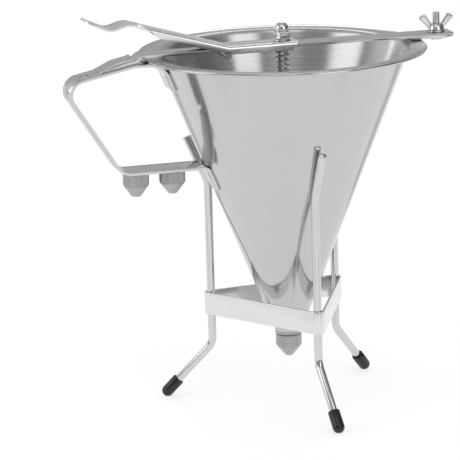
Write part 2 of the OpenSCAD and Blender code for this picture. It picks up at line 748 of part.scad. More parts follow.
// A straight stretch of rod from p to q, given as distance and height
module rod_between(p, q, d) {
    way = unit(q - p);
    translate([p.x, 0, p.y]) rotate([0, atan2(way.x, way.y), 0]) cylinder(h = norm(q - p), d = d);
}

// The bend of a rod round the corner b
module rod_bend(a, b, c, r, d) {
    centre = arc_centre(a, b, c, r);
    turn = turn_at(a, b, c);
    start = b - unit(b - a) * r * tan(abs(turn) / 2) - centre;
    from = atan2(start.y, start.x) + min(turn, 0);
    translate([centre.x, 0, centre.y]) rotate([90, 0, 0])
        rotate_extrude(angle = abs(turn), start = from) translate([r, 0]) circle(d = d);
}

// A whole rod: each straight stretch ends inside the bend next to it
module leg(index) {
    p = leg_corners;
    r = leg_bend_r + leg_d / 2;
    cut = [for (i = [1, 2]) r * tan(abs(turn_at(p[i - 1], p[i], p[i + 1])) / 2) - bend_lap];
    way = [for (i = [0:2]) unit(p[i + 1] - p[i])];
    bend_d = leg_d + 2 * bend_swell;
    color("silver") leg_place(index) {
        rod_between(p[0], p[1] - cut[0] * way[0], leg_d);
        rod_bend(p[0], p[1], p[2], r, bend_d);
        rod_between(p[1] + cut[0] * way[1], p[2] - cut[1] * way[1], leg_d);
        rod_bend(p[1], p[2], p[3], r, bend_d);
        rod_between(p[2] + cut[1] * way[2], p[3] - (cap_l - cap_depth) * way[2], leg_d);
    }
}

module left_leg() {
    leg(0);
}

module front_leg() {
    leg(1);
}

module rear_leg() {
    leg(2);
}

module foot_cap(index) {
    bore_l = cap_depth + running_gap + overrun;
    color("#202020") leg_place(index) difference() {
        translate([leg_corners[3].x, 0, leg_corners[3].y]) rotate([0, -foot_splay, 0]) {
            difference() {
                union() {
                    cylinder(h = cap_l, d = cap_d);
                    sphere(d = cap_d);
                }
                translate([0, 0, cap_l - cap_depth - running_gap])
                    cylinder(h = bore_l, d = leg_d + 2 * running_gap);
            }
        }
        translate([leg_corners[3].x - cap_d, -cap_d, -2 * cap_d]) cube(2 * cap_d);
    }
}

module left_foot_cap() {
    foot_cap(0);
}

module front_foot_cap() {
    foot_cap(1);
}

module rear_foot_cap() {
    foot_cap(2);
}

// A line round the three rods at distance r from their axes
function round_rods(r) =
    [for (angle = leg_angles, turn = [-band_turn:band_step:band_turn])
        leg_r * [cos(angle), sin(angle)] + r * [cos(angle + turn), sin(angle + turn)]];

// The band: a strip bent round the rods, in short facets
module stand_band() {
    color("silver") placed() translate([0, 0, band_z]) linear_extrude(band_h) difference() {
        polygon(round_rods(band_r + band_sheet));
        polygon(round_rods(band_r));
    }
}

stand_band();
left_leg();
front_leg();
rear_leg();
left_foot_cap();
front_foot_cap();
rear_foot_cap();
funnel_cone();
outlet_collar();
carry_handle();
bar_keeper();
rim_tab();
clamp_bolt();
nozzle_studs();
fitted_nozzle();
spare_nozzle_left();
spare_nozzle_right();
crossbar();
pivot_tube();
pivot_pin();
wing_nut();
clamp_washer();
lever();
plunger_rod();
valve_cone();
dome_nut();
nut_washer();
spring_stop();
return_spring();
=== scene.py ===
"""Dresses the batter dispenser: a steel funnel with its lever valve, on a three-legged wire stand.

Sizes are in millimetres about the funnel's axis, with Z up from the table, and the camera's side is -Y.
The handle is on the -X side and the crossbar runs along X.
"""

import logging
import math
from contextlib import contextmanager
from dataclasses import dataclass, field
from enum import Enum
from typing import Callable, Iterator, Sequence

import bmesh
import bpy
from mathutils import Matrix, Vector


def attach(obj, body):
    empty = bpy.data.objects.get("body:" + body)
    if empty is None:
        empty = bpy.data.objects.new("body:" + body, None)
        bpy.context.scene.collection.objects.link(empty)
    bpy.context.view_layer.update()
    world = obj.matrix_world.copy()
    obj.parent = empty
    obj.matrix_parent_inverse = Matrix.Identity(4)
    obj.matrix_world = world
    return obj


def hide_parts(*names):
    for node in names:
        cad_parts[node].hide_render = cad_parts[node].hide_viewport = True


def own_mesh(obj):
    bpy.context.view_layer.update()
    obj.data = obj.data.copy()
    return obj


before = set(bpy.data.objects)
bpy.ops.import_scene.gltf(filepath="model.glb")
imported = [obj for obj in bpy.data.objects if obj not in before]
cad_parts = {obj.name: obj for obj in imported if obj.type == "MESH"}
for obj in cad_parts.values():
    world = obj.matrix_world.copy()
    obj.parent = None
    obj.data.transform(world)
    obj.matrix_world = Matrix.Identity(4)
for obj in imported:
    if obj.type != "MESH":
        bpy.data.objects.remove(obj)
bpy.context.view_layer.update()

log = logging.getLogger("batter_dispenser")

MM = 0.001
# The funnel's axis stands this far along X from the part's origin
AXIS_X = 12.8852
# Points nearer than this in metres are one point
WELD = 2e-6
# A test of a place in millimetres allows this much, and five or ten times as much near a bend
NEAR = 0.01
# How far a cutter runs past the face that it leaves by
OVERRUN = 1
# The gap beside a rod, a bolt or a seat, in millimetres
PLAY = 0.05


def at(x: float, y: float, z: float) -> Vector:
    """The point in metres of a place in millimetres about the funnel's axis, with Z up from the table."""
    return Vector((x + AXIS_X, y, z)) * MM


def cross(a: Vector, b: Vector) -> float:
    """The cross product of two flat vectors."""
    return a.x * b.y - a.y * b.x


def left_of(v: Vector) -> Vector:
    """The flat vector v turned a quarter to the left."""
    return Vector((-v.y, v.x))


def heading(angle: float) -> Vector:
    """The flat vector of length one at an angle in degrees."""
    return Vector((math.cos(math.radians(angle)), math.sin(math.radians(angle))))


def flat(*points: tuple[float, float]) -> list[Vector]:
    """The points of a flat line as vectors."""
    return [Vector(p) for p in points]


def arc(centre: Vector, radius: float, start: float, end: float, step: float = 4) -> list[Vector]:
    """The points of an arc between two angles in degrees, both ends among them, at most a step apart."""
    count = max(2, math.ceil(abs(end - start) / step))
    return [centre + radius * heading(start + (end - start) * i / count) for i in range(count + 1)]


def rounded(corners: Sequence[Vector], radii: Sequence[float], step: float = 3) -> list[Vector]:
    """A line through corners, each rounded by its radius.

    Args:
        corners: The corners in order, both ends among them.
        radii: The radius at each corner between the ends, or zero for a sharp one.
        step: The largest angle between two points of a bend.

    Returns:
        The line's points.
    """
    line = [corners[0].copy()]
    for before, corner, after, radius in zip(corners, corners[1:], corners[2:], radii):
        u, v = (corner - before).normalized(), (after - corner).normalized()
        turn = math.degrees(math.atan2(cross(u, v), u.dot(v)))
        reach = radius * math.tan(math.radians(abs(turn)) / 2)
        centre = corner - u * reach + left_of(u) * math.copysign(1, turn) * radius
        start = corner - u * reach - centre
        first = math.degrees(math.atan2(start.y, start.x))
        line += arc(centre, radius, first, first + turn, step) if radius else [corner.copy()]
    return line + [corners[-1].copy()]


def beside(line: Sequence[Vector], distance: float) -> list[Vector]:
    """The line at a distance on the left of another.

    Args:
        line: The other line.
        distance: The distance, negative for the right.

    Returns:
        One point for each of the other line's.
    """
    moved, last = [], len(line) - 1
    for i, point in enumerate(line):
        u = (line[max(i, 1)] - line[max(i, 1) - 1]).normalized()
        v = (line[min(i + 1, last)] - line[min(i, last - 1)]).normalized()
        middle = (left_of(u) + left_of(v)).normalized()
        moved.append(point + middle * distance / middle.dot(left_of(u)))
    return moved


class Plane(Enum):
    """The plane of a flat line: the directions of its two numbers, and the one square to it."""

    UPRIGHT = (Vector((1, 0, 0)), Vector((0, 0, 1)), Vector((0, 1, 0)))
    LEVEL = (Vector((1, 0, 0)), Vector((0, 1, 0)), Vector((0, 0, 1)))

    @property
    def square(self) -> Vector:
        """The direction square to the plane."""
        return self.value[2]

    def place(self, point: Vector) -> Vector:
        """The flat point in space."""
        return self.value[0] * point.x + self.value[1] * point.y

    def read(self, point: Vector) -> Vector:
        """The two numbers of a point in space."""
        return Vector((point.dot(self.value[0]), point.dot(self.value[1])))


class Workpiece:
    """One mesh on the bench, shaped in edit mode with Blender's own operators."""

    def __init__(self, name: str, obj: bpy.types.Object | None = None) -> None:
        """Takes up an object, or starts one as a vertex at the funnel's axis on the table.

        Args:
            name: The piece's name in the scene.
            obj: The object, or None to start one.
        """
        if obj is None:
            bpy.ops.object.select_all(action="DESELECT")
            bpy.ops.mesh.primitive_plane_add(size=MM, location=at(0, 0, 0))
            bpy.ops.object.transform_apply()
        self.obj = obj or bpy.context.object
        self.obj.name = self.obj.data.name = name
        if obj is None:
            with self.editing():
                bpy.ops.mesh.merge(type="CENTER")

    def select(self, *others: "Workpiece") -> None:
        """Selects this piece and makes it the active one.

        Args:
            others: Pieces to select with it.
        """
        bpy.ops.object.select_all(action="DESELECT")
        for piece in (*others, self):
            piece.obj.select_set(True)
        bpy.context.view_layer.objects.active = self.obj

    @contextmanager
    def editing(self, mode: str = "VERT") -> Iterator[None]:
        """Edit mode on this piece with everything selected.

        Args:
            mode: The kind of element to select, VERT, EDGE or FACE.

        Returns:
            The mode as a context, which ends in object mode.
        """
        self.select()
        bpy.ops.object.mode_set(mode="EDIT")
        bpy.ops.mesh.select_mode(type=mode)
        bpy.ops.mesh.select_all(action="SELECT")
        try:
            yield
        finally:
            bpy.ops.object.mode_set(mode="OBJECT")

    def draw(self, line: Sequence[Vector], plane: Plane, closed: bool = False, off: float = 0,
             x: float = 0) -> "Workpiece":
        """Draws the line as a chain of edges, one extrude for each stretch.

        Args:
            line: Flat points in millimetres about the funnel's axis.
            plane: The plane that they lie in.
            closed: Whether the line runs back to its start.
            off: How far off the plane the line is moved.
            x: How far along X the line is moved.

        Returns:
            The piece itself.
        """
        offset = Vector((x, 0, 0)) + plane.square * off
        points = [plane.place(p) + offset for p in line]
        points += points[:1] if closed else []
        with self.editing():
            bpy.ops.transform.translate(value=points[0] * MM)
            for before, after in zip(points, points[1:]):
                bpy.ops.mesh.extrude_vertices_move(TRANSFORM_OT_translate={"value": (after - before) * MM})
            bpy.ops.mesh.select_all(action="SELECT")
            bpy.ops.mesh.remove_doubles(threshold=WELD)
        return self

    def extrude(self, way: Vector) -> "Workpiece":
        """Extrudes all that there is.

        Args:
            way: The direction and length in millimetres.

        Returns:
            The piece itself.
        """
        with self.editing():
            bpy.ops.mesh.extrude_region_move(TRANSFORM_OT_translate={"value": way * MM})
        return self.tidy()

    def tidy(self) -> "Workpiece":
        """Merges doubles and turns the faces outwards.

        Returns:
            The piece itself.
        """
        with self.editing():
            bpy.ops.mesh.remove_doubles(threshold=WELD)
            bpy.ops.mesh.normals_make_consistent(inside=False)
        return self

    def pick(self, test: Callable[[Vector, Vector | None], bool], kind: str) -> None:
        """Selects elements in edit mode by their place.

        Args:
            test: Says whether an element is wanted, from its middle in millimetres about the funnel's axis
                and its normal, which an edge doesn't have.
            kind: FACE, EDGE or VERT.
        """
        bm = bmesh.from_edit_mesh(self.obj.data)
        bpy.ops.mesh.select_all(action="DESELECT")
        for element in {"FACE": bm.faces, "EDGE": bm.edges, "VERT": bm.verts}[kind]:
            corners = [element] if kind == "VERT" else element.verts
            middle = sum((v.co for v in corners), Vector()) / len(corners)
            if test(middle / MM - Vector((AXIS_X, 0, 0)), getattr(element, "normal", None)):
                element.select_set(True)
        bm.select_flush_mode()
        bmesh.update_edit_mesh(self.obj.data)

    def modify(self, kind: str, **settings: object) -> "Workpiece":
        """Adds a modifier and applies it.

        Args:
            kind: The modifier's type.
            settings: Values of its properties.

        Returns:
            The piece itself.
        """
        self.select()
        bpy.ops.object.modifier_add(type=kind)
        modifier = self.obj.modifiers[-1]
        for key, value in settings.items():
            setattr(modifier, key, value)
        bpy.ops.object.modifier_apply(modifier=modifier.name)
        return self

    def round_edges(self, width: float, segments: int = 3, sharper_than: float = 50) -> "Workpiece":
        """Bevels the edges that are sharper than an angle in degrees, by a width in millimetres."""
        return self.modify("BEVEL", width=width * MM, segments=segments, limit_method="ANGLE",
                           angle_limit=math.radians(sharper_than))

    def thicken(self, sheet: float) -> "Workpiece":
        """Gives an open sheet its thickness, away from its normals."""
        return self.modify("SOLIDIFY", thickness=sheet * MM, offset=-1, use_even_offset=True)

    def cut(self, cutter: "Workpiece", operation: str = "DIFFERENCE") -> "Workpiece":
        """Cuts the piece with another and throws that one away.

        Args:
            cutter: The other piece.
            operation: DIFFERENCE to take it away, or INTERSECT to keep what is inside it.

        Returns:
            The piece itself.
        """
        self.modify("BOOLEAN", operation=operation, object=cutter.obj, solver="EXACT")
        cutter.discard()
        return self

    def discard(self) -> None:
        """Removes the piece from the scene."""
        mesh = self.obj.data
        bpy.data.objects.remove(self.obj)
        bpy.data.meshes.remove(mesh)

    def join(self, *others: "Workpiece") -> "Workpiece":
        """Makes other pieces part of this one.

        Args:
            others: The other pieces.

        Returns:
            The piece itself.
        """
        self.select(*others)
        bpy.ops.object.join()
        return self

    def copy(self, name: str) -> "Workpiece":
        """A copy with its own mesh.

        Args:
            name: The copy's name.

        Returns:
            The copy.
        """
        obj = self.obj.copy()
        obj.data = self.obj.data.copy()
        bpy.context.scene.collection.objects.link(obj)
        return Workpiece(name, obj)

    def place(self, matrix: Matrix) -> "Workpiece":
        """Moves the whole mesh and leaves the object at the origin.

        Args:
            matrix: The move, in metres.

        Returns:
            The piece itself.
        """
        self.obj.matrix_world = matrix @ self.obj.matrix_world
        self.select()
        bpy.ops.object.transform_apply()
        return self

    def turn(self, angle: float, axis: str = "Z", x: float = 0, to: Vector | None = None) -> "Workpiece":
        """Turns the mesh about the point (x, 0, 0), and may carry that point to another place.

        Args:
            angle: The turn in degrees.
            axis: X, Y or Z.
            x: The point's distance from the funnel's axis.
            to: Where the point goes, in metres, or None to leave it.

        Returns:
            The piece itself.
        """
        centre = at(x, 0, 0)
        goal = centre if to is None else to
        return self.place(Matrix.Translation(goal) @ Matrix.Rotation(math.radians(angle), 4, axis)
                          @ Matrix.Translation(-centre))

    def wind(self, pitch: float, turns: int, steps: int, x: float = 0, merge: bool = False) -> "Workpiece":
        """Winds the chain upwards about an upright axis.

        Args:
            pitch: How far it climbs in a turn.
            turns: How many turns it makes.
            steps: How many steps a turn has.
            x: The axis's distance from the funnel's axis.
            merge: Whether each turn is joined to the next.

        Returns:
            The piece itself.
        """
        centre = at(x, 0, 0)
        self.place(Matrix.Translation(-centre))
        self.modify("SCREW", angle=math.tau, screw_offset=pitch * MM, iterations=turns, steps=steps,
                    render_steps=steps, use_merge_vertices=merge, merge_threshold=WELD)
        return self.place(Matrix.Translation(centre))

    def finish(self, body: str, finish: "Finish", node: str, smooth: float = 40) -> bpy.types.Object:
        """Shades the piece, dresses it and puts it on its body.

        Args:
            body: The body that it moves with.
            finish: Its finish.
            node: The CAD node that it stands for.
            smooth: Edges sharper than this many degrees stay sharp.

        Returns:
            The finished object.
        """
        self.select()
        bpy.ops.object.shade_smooth_by_angle(angle=math.radians(smooth))
        if not self.obj.data.materials:
            self.obj.data.materials.append(finish.material())
        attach(self.obj, body)
        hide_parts(node)
        log.info("%s: %d faces, rides on %s", self.obj.name, len(self.obj.data.polygons), body)
        return self.obj


def turned(name: str, profile: Sequence[Vector], steps: int = 64, x: float = 0) -> Workpiece:
    """A solid turned about an upright axis.

    Args:
        name: The piece's name.
        profile: Its half section as distance from the axis and height, from one end on the axis to the
            other, or a closed ring whose first and last points are the same.
        steps: How many steps the turn has.
        x: The axis's distance from the funnel's axis along X.

    Returns:
        The piece.
    """
    piece = Workpiece(name).draw(profile, Plane.UPRIGHT, x=x)
    with piece.editing():
        bpy.ops.mesh.spin(steps=steps, angle=math.tau, axis=(0, 0, 1), center=at(x, 0, 0))
    return piece.tidy()


def ring(name: str, inner: float, outer: float, low: float, height: float, edge: float,
         x: float = 0) -> Workpiece:
    """A turned ring with small chamfers on its outer edges.

    Args:
        name: The piece's name.
        inner: Its inner radius.
        outer: Its outer radius.
        low: The height of its underside.
        height: Its thickness.
        edge: The chamfers' width.
        x: The ring's distance from the funnel's axis along X.

    Returns:
        The piece.
    """
    high = low + height
    return turned(name, flat((inner, low), (outer - edge, low), (outer, low + edge), (outer, high - edge),
                             (outer - edge, high), (inner, high), (inner, low)), x=x)


def drill(low: float, high: float, radius: float, x: float = 0) -> Workpiece:
    """A round upright cutter about (x, 0)."""
    return turned("drill", flat((0, low), (radius, low), (radius, high), (0, high)), 48, x)


def plate(name: str, outline: Sequence[Vector], plane: Plane, low: float, depth: float,
          x: float = 0) -> Workpiece:
    """A flat outline given a thickness.

    Args:
        name: The piece's name.
        outline: Its corners in order.
        plane: The plane that they lie in.
        low: How far off the plane its near face is.
        depth: Its thickness, or zero to leave it a single face.
        x: How far along X it is moved.

    Returns:
        The piece.
    """
    piece = Workpiece(name).draw(outline, plane, closed=True, off=low, x=x)
    with piece.editing("EDGE"):
        bpy.ops.mesh.edge_face_add()
    return piece.extrude(plane.square * depth) if depth else piece


def open_sheet(name: str, line: Sequence[Vector], plane: Plane, low: float, width: float,
               closed: bool = False) -> Workpiece:
    """A sheet without thickness along a line, with its normals away from the line's left.

    Args:
        name: The piece's name.
        line: The line of the outer face, with the sheet's thickness to be on its left.
        plane: The plane that the line lies in.
        low: How far off the plane the sheet's near edge is.
        width: The sheet's width, square to the plane.
        closed: Whether the line runs back to its start.

    Returns:
        The open sheet.
    """
    piece = Workpiece(name).draw(line, plane, closed, low).extrude(plane.square * width)
    with piece.editing():
        bm = bmesh.from_edit_mesh(piece.obj.data)
        bm.faces.ensure_lookup_table()
        face = bm.faces[0]
        middle = plane.read(face.calc_center_median() / MM - Vector((AXIS_X, 0, 0)))
        near = min(range(len(line) - 1), key=lambda i: ((line[i] + line[i + 1]) / 2 - middle).length)
        if plane.read(face.normal).dot(left_of(line[near + 1] - line[near])) > 0:
            bpy.ops.mesh.flip_normals()
    return piece


def rod_along(name: str, line: Sequence[Vector], diameter: float, edge: float, sides: int = 24) -> Workpiece:
    """A round rod along a flat line in the XZ plane, with a small chamfer at each end.

    Args:
        name: The piece's name.
        line: The rod's centre line as distance from the funnel's axis and height.
        diameter: The rod's diameter.
        edge: The chamfer's width.
        sides: How many sides the rod's section has.

    Returns:
        The piece.
    """
    lift = Plane.UPRIGHT.place
    way = line[1] - line[0]
    bpy.ops.object.select_all(action="DESELECT")
    bpy.ops.mesh.primitive_circle_add(
        vertices=sides, radius=diameter / 2 * MM, fill_type="NGON", location=at(line[0].x, 0, line[0].y),
        rotation=(0, math.atan2(way.x, way.y), 0))
    bpy.ops.object.transform_apply()
    piece = Workpiece(name, bpy.context.object)
    with piece.editing("FACE"):
        for before, here, after in zip(line, line[1:], [*line[2:], None]):
            bpy.ops.mesh.extrude_region_move(TRANSFORM_OT_translate={"value": lift(here - before) * MM})
            if after is None:
                break
            # The rod's new end is tilted into the plane that halves the bend
            along = lift(here - before).normalized()
            normal = lift(((here - before).normalized() + (after - here).normalized()).normalized())
            bm = bmesh.from_edit_mesh(piece.obj.data)
            for vertex in [v for v in bm.verts if v.select]:
                vertex.co += along * ((at(here.x, 0, here.y) - vertex.co).dot(normal) / along.dot(normal))
            bmesh.update_edit_mesh(piece.obj.data)
    return piece.tidy().round_edges(edge, 2, 60)


# Finishes


def srgb(colour: str) -> tuple[float, float, float, float]:
    """A colour written as six hex digits, as linear red, green, blue and alpha.

    Args:
        colour: The six digits.

    Returns:
        The four numbers.
    """
    channels = [int(colour[i:i + 2], 16) / 255 for i in (0, 2, 4)]
    linear = [c / 12.92 if c <= 0.04045 else ((c + 0.055) / 1.055) ** 2.4 for c in channels]
    return (*linear, 1.0)


def empty_tree(owner: bpy.types.Material | bpy.types.World) -> bpy.types.NodeTree:
    """The node tree of a new material or world, without its first nodes.

    Args:
        owner: The material or world.

    Returns:
        The tree.
    """
    owner.use_nodes = True
    owner.node_tree.nodes.clear()
    return owner.node_tree


def add_node(tree: bpy.types.NodeTree, kind: str, inputs: dict[str | int, object] | None = None,
             **settings: object) -> bpy.types.Node:
    """Adds a node with its settings and links.

    Args:
        tree: The node tree.
        kind: The node's type, without the ShaderNode that it starts with.
        inputs: What its inputs take: a value, another node's output, or another node for its first output.
        settings: Values of its properties.

    Returns:
        The node.
    """
    node = tree.nodes.new("ShaderNode" + kind)
    for key, value in settings.items():
        setattr(node, key, value)
    for key, value in (inputs or {}).items():
        if isinstance(value, bpy.types.Node):
            value = next(socket for socket in value.outputs if socket.enabled)
        if isinstance(value, bpy.types.NodeSocket):
            tree.links.new(value, node.inputs[key])
        else:
            node.inputs[key].default_value = value
    return node


class Grain(Enum):
    """Which way the fine lines of a finish run: how long they are along X, Y and Z in widths of a line."""

    ALONG_THE_STRIP = (50, 1, 50)
    ALONG_THE_ROD = (1, 1, 40)
    ROUND_THE_AXIS = (160, 160, 1)
    NONE = (1, 1, 1)


@dataclass(frozen=True)
class Finish:
    """A finish with its name, and the record's material slot that its pieces have."""

    name: str
    slot: str

    def material(self) -> bpy.types.Material:
        """The finish as a material, made when it is first asked for.

        Returns:
            The material.
        """
        material = bpy.data.materials.get(self.name)
        if material is None:
            material = bpy.data.materials.new(self.name)
            tree = empty_tree(material)
            add_node(tree, "OutputMaterial", {"Surface": self.surface(tree)})
        return material

    def surface(self, tree: bpy.types.NodeTree) -> bpy.types.Node:
        """The nodes of the surface, which each kind of finish has its own of."""
        raise NotImplementedError


@dataclass(frozen=True)
class SteelFinish(Finish):
    """Stainless steel in one of the finishes that the dispenser's pieces have."""

    light: str
    dark: str
    roughness: float
    spread: float
    line_mm: float
    grain: Grain
    relief: float = 0.2
    depth_mm: float = 0.01
    cloud_mm: float = 28
    anisotropy: float = 0

    def surface(self, tree: bpy.types.NodeTree) -> bpy.types.Node:
        """Lines of the grain in roughness and relief, and faint clouds in the tone.

        Args:
            tree: The material's node tree.

        Returns:
            The surface's shader.
        """
        where = add_node(tree, "TexCoord").outputs["Object"]
        # A grain round the axis is laid about the funnel's, the others about the part's origin
        around = at(0, 0, 0) if self.grain is Grain.ROUND_THE_AXIS else Vector()
        line, cloud = (add_node(tree, "Mapping", {
            "Vector": where, "Location": around, "Scale": Vector(shape) * size * MM}, vector_type="TEXTURE")
            for shape, size in ((self.grain.value, self.line_mm), ((1, 1, 1), self.cloud_mm)))
        lines, clouds = (add_node(tree, "TexNoise", {
            "Vector": place, "Scale": 1.0, "Detail": detail, "Roughness": roughness})
            for place, detail, roughness in ((line, 1.0, 0.4), (cloud, 2.0, 0.5)))
        both = add_node(tree, "Mix", {"Factor": 0.4, "A": lines, "B": clouds}, data_type="FLOAT")
        rough, tone = (add_node(tree, "MapRange", {
            "Value": both, "From Min": 0.3, "From Max": 0.7, "To Min": low, "To Max": high})
            for low, high in ((self.roughness - self.spread, self.roughness + self.spread), (0.0, 1.0)))
        colour = add_node(tree, "Mix", {
            "Factor": tone, "A": srgb(self.dark), "B": srgb(self.light)}, data_type="RGBA")
        relief = add_node(tree, "Bump", {
            "Strength": self.relief, "Distance": self.depth_mm * MM, "Height": lines})
        steel = add_node(tree, "BsdfPrincipled", {
            "Base Color": colour, "Metallic": 1.0, "Roughness": rough, "Normal": relief,
            "Anisotropic": self.anisotropy, "Anisotropic Rotation": 0.25})
        if self.anisotropy:
            tangent = add_node(tree, "Tangent", direction_type="RADIAL", axis="Z")
            tree.links.new(tangent.outputs[0], steel.inputs["Tangent"])
        return steel


@dataclass(frozen=True)
class RubberFinish(Finish):
    """Moulded black rubber, dull, with a fine grit and a dusty bloom."""

    body: str
    bloom: str
    roughness: float = 0.2
    spread: tuple[float, float] = (0.08, 0.12)
    grit_mm: float = 0.9
    relief: float = 0.25
    depth_mm: float = 0.02
    ior: float = 1.52

    def surface(self, tree: bpy.types.NodeTree) -> bpy.types.Node:
        """Grit in roughness, relief and tone.

        Args:
            tree: The material's node tree.

        Returns:
            The surface's shader.
        """
        where = add_node(tree, "TexCoord").outputs["Object"]
        grit_at = add_node(tree, "Mapping", {
            "Vector": where, "Scale": Vector((1, 1, 1)) * self.grit_mm * MM}, vector_type="TEXTURE")
        grit = add_node(tree, "TexNoise", {"Vector": grit_at, "Scale": 1.0, "Detail": 4.0})
        colour = add_node(tree, "Mix", {
            "Factor": grit, "A": srgb(self.body), "B": srgb(self.bloom)}, data_type="RGBA")
        below, above = self.spread
        rough = add_node(tree, "MapRange", {
            "Value": grit, "To Min": self.roughness - below, "To Max": self.roughness + above})
        relief = add_node(tree, "Bump", {
            "Strength": self.relief, "Distance": self.depth_mm * MM, "Height": grit})
        return add_node(tree, "BsdfPrincipled", {
            "Base Color": colour, "Roughness": rough, "IOR": self.ior, "Normal": relief})


# Rolled and polished sheet: near a mirror, so the handle, the rods and the table show in it
POLISHED_SHEET = SteelFinish("polished_steel_sheet", "funnel_steel", "C5C5C5", "C3C3C3", 0.13, 0.01, 0.9,
                             Grain.ROUND_THE_AXIS, 0.02)
# The same sheet brushed round the bowl: reflections run into bands from the rim to the outlet. The real
# lines are under 0.1 mm and are drawn 0.8 mm wide, so that they show
BRUSHED_SHEET = SteelFinish("brushed_steel_sheet", "funnel_steel", "CBCBCB", "BBBBBB", 0.26, 0.04, 0.8,
                            Grain.ROUND_THE_AXIS, 0.08, anisotropy=0.9)
# The flange, smoothed on the same lathe: duller than the cone outside, with soft reflections
SMOOTHED_FLANGE = SteelFinish("smoothed_steel_flange", "funnel_steel", "C6C6C6", "BCBCBC", 0.22, 0.04, 0.8,
                              Grain.ROUND_THE_AXIS, 0.08, anisotropy=0.4)
# Strip steel with the long lines of a belt, polished over: soft reflections along the strip
BELTED_STRIP = SteelFinish("belt_polished_strip", "strip_steel", "D2D2D2", "C3C3C3", 0.18, 0.04, 0.9,
                           Grain.ALONG_THE_STRIP, 0.07)
# The lever is rumbled smooth after it is bent, so its strip scatters more light and looks nearly white
RUMBLED_STRIP = SteelFinish("rumbled_strip_steel", "strip_steel", "E8E8E8", "DCDCDC", 0.22, 0.04, 0.9,
                            Grain.ALONG_THE_STRIP, 0.1)
# The band's strip, brushed along its length and less polished: a satin face without clear reflections
BRUSHED_BAND = SteelFinish("brushed_band_steel", "band_steel", "E4E4E4", "DADADA", 0.22, 0.04, 1.1,
                           Grain.ROUND_THE_AXIS, 0.08)
# Drawn and polished wire rod: bright lines along the rod
DRAWN_ROD = SteelFinish("drawn_steel_rod", "rod_steel", "D8D8D8", "CACACA", 0.14, 0.04, 0.8,
                        Grain.ALONG_THE_ROD, 0.12)
# Turned on a lathe and left so: fine rings round the piece, greyer than the polished sheet
TURNED_STEEL = SteelFinish("lathe_turned_steel", "turned_steel", "B2B2B2", "A8A8A8", 0.33, 0.04, 0.6,
                           Grain.ROUND_THE_AXIS)
# Cold-formed and tumbled bright, as bought nuts and bolts are
FORMED_STEEL = SteelFinish("cold_formed_steel", "fastener_steel", "DADADA", "CCCCCC", 0.13, 0.05, 1.2,
                           Grain.NONE, 0.15)
# Hard-drawn spring wire, a little darker from its heat treatment
SPRING_WIRE = SteelFinish("hard_drawn_spring_wire", "spring_wire", "E0E0E0", "D0D0D0", 0.3, 0.05, 0.5,
                          Grain.NONE)
# Push-on caps of black rubber: nearly black, with a faint sheen on the side of the light
CAP_RUBBER = RubberFinish("moulded_rubber", "cap_rubber", "060606", "141414")


# The scene


